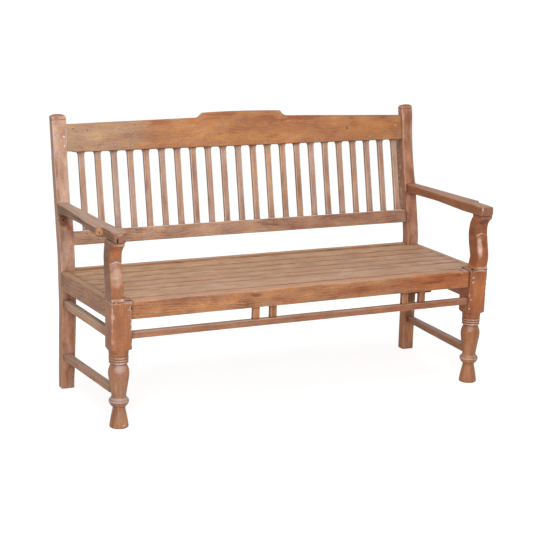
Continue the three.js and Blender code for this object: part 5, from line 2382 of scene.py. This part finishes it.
@dataclass(frozen=True)
class Studio:
    """Floor, light and camera.

    Attributes:
        yaw: Where the camera stands round the bench; at nought it looks along +Y.
        pitch: How far above the level it stands.
        roll: How far it is tilted about its own line of sight.
        focal_pixels: Focal length in pixels of the photograph.
        picture_width: Width of the photograph in pixels.
        target: The point in the middle of the picture.
        distance: From the camera to that point.
        floor_size: The side of the square floor.
        floor_level: Height of the floor, a hair below the feet.
    """

    yaw: float = math.radians(-26.5266)
    pitch: float = math.radians(12.6359)
    roll: float = math.radians(1.498)
    focal_pixels: float = 1406.31
    picture_width: float = 533.0
    target: Vector = Vector((-0.080928, -0.109734, 0.476212))
    distance: float = 5.11527
    floor_size: float = 180.0
    floor_level: float = -0.0004

    def camera(self) -> None:
        """Sets up the camera at the photograph's angle."""
        back = Vector((
            math.sin(self.yaw) * math.cos(self.pitch), -math.cos(self.yaw) * math.cos(self.pitch),
            math.sin(self.pitch)))
        right = Vector((math.cos(self.yaw), math.sin(self.yaw), 0))
        up = back.cross(right)
        tilted_right = right * math.cos(self.roll) + up * math.sin(self.roll)
        tilted_up = up * math.cos(self.roll) - right * math.sin(self.roll)
        data = bpy.data.cameras.new("camera")
        data.lens = self.focal_pixels / self.picture_width * data.sensor_width
        turned = Matrix((tilted_right, tilted_up, back)).transposed().to_4x4()
        holder = link("camera", data)
        holder.matrix_world = Matrix.Translation(self.target + back * self.distance) @ turned
        bpy.context.scene.camera = holder

    def seen_as_background(self, w: Wiring) -> bpy.types.NodeSocket:
        """Tells the rays that show the background from those that light the bench.

        Args:
            w: Adds the nodes.

        Returns:
            One for the former and nought for the latter.
        """
        path = w.node("ShaderNodeLightPath", {})
        direct = w.math("MAXIMUM", path.outputs["Is Camera Ray"], path.outputs["Is Glossy Ray"])
        return w.math("MAXIMUM", direct, path.outputs["Is Transmission Ray"])

    def world(self, strength: float) -> None:
        """Makes a white surround that lights the bench evenly.

        Args:
            strength: How strongly it lights the bench.
        """
        world = bpy.data.worlds.new("studio")
        w = Wiring.fresh(world)
        lit = w.node("ShaderNodeBackground", {"Color": (1, 1, 1, 1), "Strength": strength})
        shown = w.node("ShaderNodeBackground", {"Color": (1, 1, 1, 1), "Strength": 1.0})
        both = w.node("ShaderNodeMixShader", {
            0: self.seen_as_background(w), 1: lit.outputs[0], 2: shown.outputs[0]})
        w.node("ShaderNodeOutputWorld", {"Surface": both.outputs[0]})
        bpy.context.scene.world = world

    def floor(self) -> None:
        """A plain white floor that keeps the bench's soft shadow."""
        mesh = bpy.data.meshes.new("floor")
        half = self.floor_size / 2
        corners = [(-half, -half, 0), (half, -half, 0), (half, half, 0), (-half, half, 0)]
        mesh.from_pydata(corners, [], [(0, 1, 2, 3)])
        floor = link("floor", mesh)
        floor.location.z = self.floor_level
        material = bpy.data.materials.new("white_floor")
        w = Wiring.fresh(material)
        plain = w.node("ShaderNodeBsdfDiffuse", {"Color": (0.86, 0.86, 0.86, 1)})
        faint = w.node("ShaderNodeBsdfDiffuse", {"Color": (0.55, 0.55, 0.55, 1)})
        bright = w.node("ShaderNodeEmission", {"Color": (0.76, 0.76, 0.76, 1), "Strength": 1.0})
        shown = w.node("ShaderNodeAddShader", {0: faint.outputs[0], 1: bright.outputs[0]})
        path = w.node("ShaderNodeLightPath", {})
        both = w.node("ShaderNodeMixShader", {
            0: path.outputs["Is Camera Ray"], 1: plain.outputs[0], 2: shown.outputs[0]})
        w.node("ShaderNodeOutputMaterial", {"Surface": both.outputs[0]})
        mesh.materials.append(material)

    def lamp(self, name: str, place: Vector, aim: Vector, size: float, power: float) -> None:
        """A large soft lamp.

        Args:
            name: Its name.
            place: Where it hangs.
            aim: What it points at.
            size: The side of its square face.
            power: Its power in watts.
        """
        data = bpy.data.lights.new(name, "AREA")
        data.size = size
        data.energy = power
        holder = link(name, data)
        holder.location = place
        holder.rotation_euler = (aim - place).to_track_quat("-Z", "Y").to_euler()

    def build(self) -> None:
        """Sets up the whole studio."""
        self.camera()
        self.world(0.45)
        self.floor()
        middle = Vector((0, 0, 0.5))
        self.lamp("overhead", Vector((-0.4, -0.7, 2.9)), middle, 1.6, 33)
        self.lamp("key", Vector((-1.9, -4.0, 2.2)), middle, 2.6, 102)
        bpy.context.scene.view_settings.view_transform = "Standard"


def finishes() -> list[TeakFinish | HeadFinish]:
    """Gathers the finishes of the bench.

    Returns:
        One finish for each slot.
    """
    crest_blots = (
        Blot((-0.62, 0.29, 0.93), (0.30, 0.1, 0.12), 0xB08E72, 0.8, 0.8),
        Blot((0.09, 0.29, 0.960), (0.13, 0.1, 0.020), 0x985A3A, 0.6, 1.8),
        Blot((0.245, 0.29, 0.964), (0.10, 0.1, 0.014), 0x8E4C30, 0.8, 1.8),
        Blot((0.45, 0.29, 0.977), (0.34, 0.1, 0.010), 0xA05A38, 0.8, 1.4),
        Blot((0.18, 0.29, 0.93), (0.16, 0.1, 0.03), 0xA0643E, 0.5, 1.8),
        Blot((0.02, 0.29, 0.900), (0.24, 0.1, 0.026), 0xBC8450, 0.8, 1.6),
        Blot((0.58, 0.29, 0.92), (0.16, 0.1, 0.035), 0xBA7C48, 0.8, 1.6),
        Blot((0.4556, 0.281, 0.917), (0.006, 0.02, 0.006), 0x74402E, 0.9, 0.5),
        Blot((-0.36, 0.29, 0.915), (0.12, 0.1, 0.022), 0x9C6A4A, 0.6, 1.8))
    rail_blots = (
        Blot((0.55, -0.3067, 0.42), (0.22, 0.03, 0.045), 0xAE6236, 0.8, 1.4),
        Blot((0.6385, -0.3067, 0.4364), (0.008, 0.02, 0.005), 0xE0B890, 0.8, 0.6),
        Blot((0.6471, -0.29, 0.444), (0.008, 0.02, 0.006), 0x4A2C20, 0.8, 0.6),
        Blot((0.52, -0.3067, 0.413), (0.07, 0.02, 0.007), 0x7E4224, 0.7, 1.8),
        Blot((-0.2172, -0.3067, 0.4268), (0.03, 0.02, 0.008), 0x7A4834, 0.8, 1.6),
        Blot((-0.48, -0.3067, 0.437), (0.16, 0.02, 0.008), 0x905A46, 0.8, 1.6),
        Blot((-0.45, -0.3067, 0.405), (0.20, 0.02, 0.018), 0xC4885A, 0.7, 1.6),
        Blot((0.22, -0.3067, 0.41), (0.2, 0.02, 0.014), 0x9A5A3A, 0.7, 1.8),
        Blot((0.4, 0.2118, 0.56), (0.44, 0.06, 0.06), 0x9C6240, 0.8, 1.2))
    arm_blots = (
        Blot((-0.769, -0.03, 0.6765), (0.012, 0.15, 0.0024), 0x3A2820, 0.9, 0.5),
        # The next three blots: painted highlight on the left ear's forward face, painted shadow on the neck's
        # outer side beside it, painted highlight on the right ear.
        Blot((-0.764, -0.212, 0.667), (0.022, 0.013, 0.018), 0xD09468, 0.9, 0.4),
        Blot((-0.757, -0.212, 0.665), (0.003, 0.012, 0.008), 0x4A2E20, 0.9, 0.8),
        Blot((0.764, -0.212, 0.667), (0.022, 0.013, 0.018), 0xD09468, 0.8, 0.4),
        Blot((-0.7352, -0.325, 0.6566), (0.0046, 0.012, 0.0125), 0x120C09, 1.0, 0.15),
        # Worn, rounded left edge of the right nose, with a painted highlight on it.
        Blot((0.7055, -0.325, 0.6798), (0.0034, 0.008, 0.009), 0xDCC8C0, 0.9, 0.5),
        Blot((-0.7262, -0.325, 0.6756), (0.016, 0.012, 0.004), 0xB89484, 0.7, 0.8))
    leg_blots = (
        # The next two blots are painted shade on left-facing sides: the left leg's outer faces and the right
        # support's inner face.
        Blot((-0.7605, -0.27, 0.56), (0.016, 0.12, 0.19), 0x845434, 1.0, 0.1),
        Blot((0.6995, -0.27, 0.56), (0.014, 0.12, 0.19), 0x8C5C40, 1.0, 0.1),
        Blot((-0.729, -0.308, 0.545), (0.030, 0.03, 0.064), 0xBC947C, 0.9, 0.35),
        # The right facing: its left facet paler, partly its colour and partly a painted highlight; the next
        # blot darkens its right facet, partly its colour and partly painted shade.
        Blot((0.7165, -0.311, 0.537), (0.0135, 0.03, 0.058), 0xDABEB6, 0.95, 0.3),
        Blot((0.7405, -0.304, 0.53), (0.010, 0.03, 0.07), 0x96543A, 0.7, 0.5),
        Blot((-0.726, -0.296, 0.612), (0.024, 0.03, 0.03), 0xB87040, 0.75, 0.9),
        Blot((-0.7357, -0.309, 0.2665), (0.013, 0.02, 0.0028), 0x3A241A, 0.9, 1.0),
        Blot((-0.7045, -0.303, 0.0125), (0.0095, 0.02, 0.0022), 0xD2BEB4, 0.85, 0.6),
        # Painted shade in the hollow under the right capital.
        Blot((0.728, -0.296, 0.63), (0.024, 0.03, 0.022), 0x7A4228, 0.8, 0.7),
        *(Blot((x, -0.276, 0.11), (0.08, 0.08, 0.18), 0xA67658, 0.9, 0.5) for x in (-0.713, 0.713)),
        # The next two blots are painted highlights on the shoulders of both vases.
        Blot((-0.7181, -0.3085, 0.214), (0.024, 0.02, 0.02), 0xC09C88, 0.6, 0.9),
        Blot((0.6874, -0.3085, 0.2195), (0.026, 0.02, 0.022), 0xC09C88, 0.6, 0.9),
        *(Blot((x, -0.276, 0.097), (0.06, 0.06, 0.013), 0x9C6240, 0.8, 0.3) for x in (-0.713, 0.713)),
        Blot((0.735, -0.31, 0.36), (0.02, 0.03, 0.05), 0xB0703E, 0.6, 1.2))
    stretcher_blots = (
        Blot((-0.755, -0.04, 0.34), (0.04, 0.30, 0.045), 0xC09474, 0.7, 0.8),
        Blot((0.45, -0.29, 0.335), (0.34, 0.06, 0.04), 0xA06446, 0.7, 1.2))
    post_blots = (
        Blot((-0.735, 0.21, 0.16), (0.06, 0.10, 0.30), 0xA87456, 0.9, 0.5),
        # Painted light on the right post below the seat, lifting its shade.
        Blot((0.735, 0.21, 0.16), (0.06, 0.10, 0.30), 0xC49470, 0.9, 0.5),
        # Painted shade on the right post below the seat.
        Blot((0.738, 0.20, 0.222), (0.05, 0.05, 0.034), 0x6E4A36, 0.85, 0.5),
        Blot((-0.735, 0.31, 1.000), (0.06, 0.07, 0.0085), 0x8A5C3E, 0.95, 0.5),
        Blot((0.735, 0.31, 1.000), (0.06, 0.07, 0.009), 0x96684A, 0.8, 0.6),
        Blot((-0.7665, 0.30, 0.968), (0.009, 0.05, 0.034), 0x86502F, 0.95, 0.6),
        Blot((-0.7150, 0.216, 0.59), (0.024, 0.03, 0.055), 0x9E6A54, 0.85, 0.8),
        Blot((-0.7420, 0.2218, 0.6262), (0.022, 0.03, 0.032), 0x74462E, 0.95, 0.5),
        Blot((-0.7420, 0.2218, 0.6262), (0.012, 0.03, 0.018), 0xC08A66, 0.9, 0.4),
        Blot((-0.7415, 0.2228, 0.6282), (0.0055, 0.02, 0.0065), 0x2A1A14, 0.95, 0.3),
        Blot((0.7152, 0.2110, 0.5654), (0.007, 0.02, 0.009), 0x8E5A44, 0.8, 0.8))
    return [
        TeakFinish(Slot.CREST, pale=0xBC8656, mid=0xAE764E, dark=0x945C3A, rub=0x8C5236, grey=0xB08A70,
                   end=0xB07A50, bleached=0.3, rubbed=0.65, roughness=0.42, wave=0.05, layering=0.035,
                   streaks=0.15, flecks=0.15, fleck=0xCE9E66, blots=crest_blots),
        TeakFinish(Slot.RAIL, pale=0xC28C5E, mid=0xB07852, dark=0x8C583A, rub=0xC4946E, grey=0xB4927A,
                   bleached=0.9, rubbed=0.5, cool=0xB48C74, layering=0.06, wave=0.045, streaks=0.22,
                   flecks=0.32, fleck=0xDCB080, blots=rail_blots),
        TeakFinish(Slot.LEG, pale=0xB87C52, mid=0xA56844, dark=0x844E34, rub=0xCDAE98, grey=0xC6A896,
                   bleached=0.8, rubbed=0.8, least=0.3, roughness=0.44, wax=0.12, streaks=0.15,
                   layering=0.03, flecks=0.5, fleck=0xC8905C, warm=0xA8623A, blots=leg_blots),
        TeakFinish(Slot.POST, pale=0xBE9882, mid=0xAE846B, dark=0x92664E, rub=0xCFAE96, grey=0xB0927F,
                   bleached=0.4, rubbed=0.6, warm=0xAC785C, cool=0xBC947E, layering=0.09, streaks=0.2,
                   flecks=0.3, fleck=0xC6A088, wave=0.04, pitch=0.0011, blots=post_blots),
        TeakFinish(Slot.SLAT, pale=0xC6A490, mid=0xB6917D, dark=0x98715C, rub=0xD6BCAE, grey=0xB29684,
                   bleached=0.4, rubbed=0.75, least=0.3, warm=0xB98E70, cool=0xB29A90, layering=0.07),
        TeakFinish(Slot.SEAT, pale=0xC8A280, mid=0xB18864, dark=0x8E6442, rub=0x945632, grey=0xB89A84,
                   bleached=0.4, rubbed=0.95, least=0.5, roughness=0.55, warm=0xB4824C, cool=0xB09082,
                   layering=0.09, streaks=0.6, flecks=0.45, fleck=0xD09A64),
        TeakFinish(Slot.ARM, pale=0xA27E66, mid=0x90664E, dark=0x74503C, rub=0xB58E76, grey=0xAA9080,
                   end=0x9C6C54, bleached=0.9, rubbed=0.5, roughness=0.55, streaks=0.5, warm=0x98603E,
                   flecks=0.2, fleck=0xB8916E, blots=arm_blots),
        TeakFinish(Slot.STRETCHER, pale=0xB6866A, mid=0xA67256, dark=0x8A5A42, rub=0xBE9A80, grey=0xC6B0A0,
                   bleached=0.8, rubbed=0.5, cool=0xBC8666, blots=stretcher_blots),
        HeadFinish(Slot.PEG, light=0xE2D8D0, dark=0xB0A094, roughness=0.6),
        HeadFinish(Slot.IRON, light=0x77757E, dark=0x40342F, roughness=0.6),
    ]


def main() -> None:
    """Builds the bench around its frame, sub-assembly by sub-assembly."""
    logging.basicConfig(level=logging.INFO, format="%(message)s")
    layout = Layout.read()
    materials = {finish.slot: finish.build() for finish in finishes()}
    back = Back(layout, materials)
    back.build()
    for side in Side:
        RearPost(layout, materials, side, back).build()
        FrontLeg(layout, materials, side).build()
        Arm(layout, materials, side).build()
    SeatFrame(layout, materials).build()
    Underframe(layout, materials).build()
    Fastenings(layout, materials, back).build()
    Studio().build()


if __name__ == "__main__":
    main()
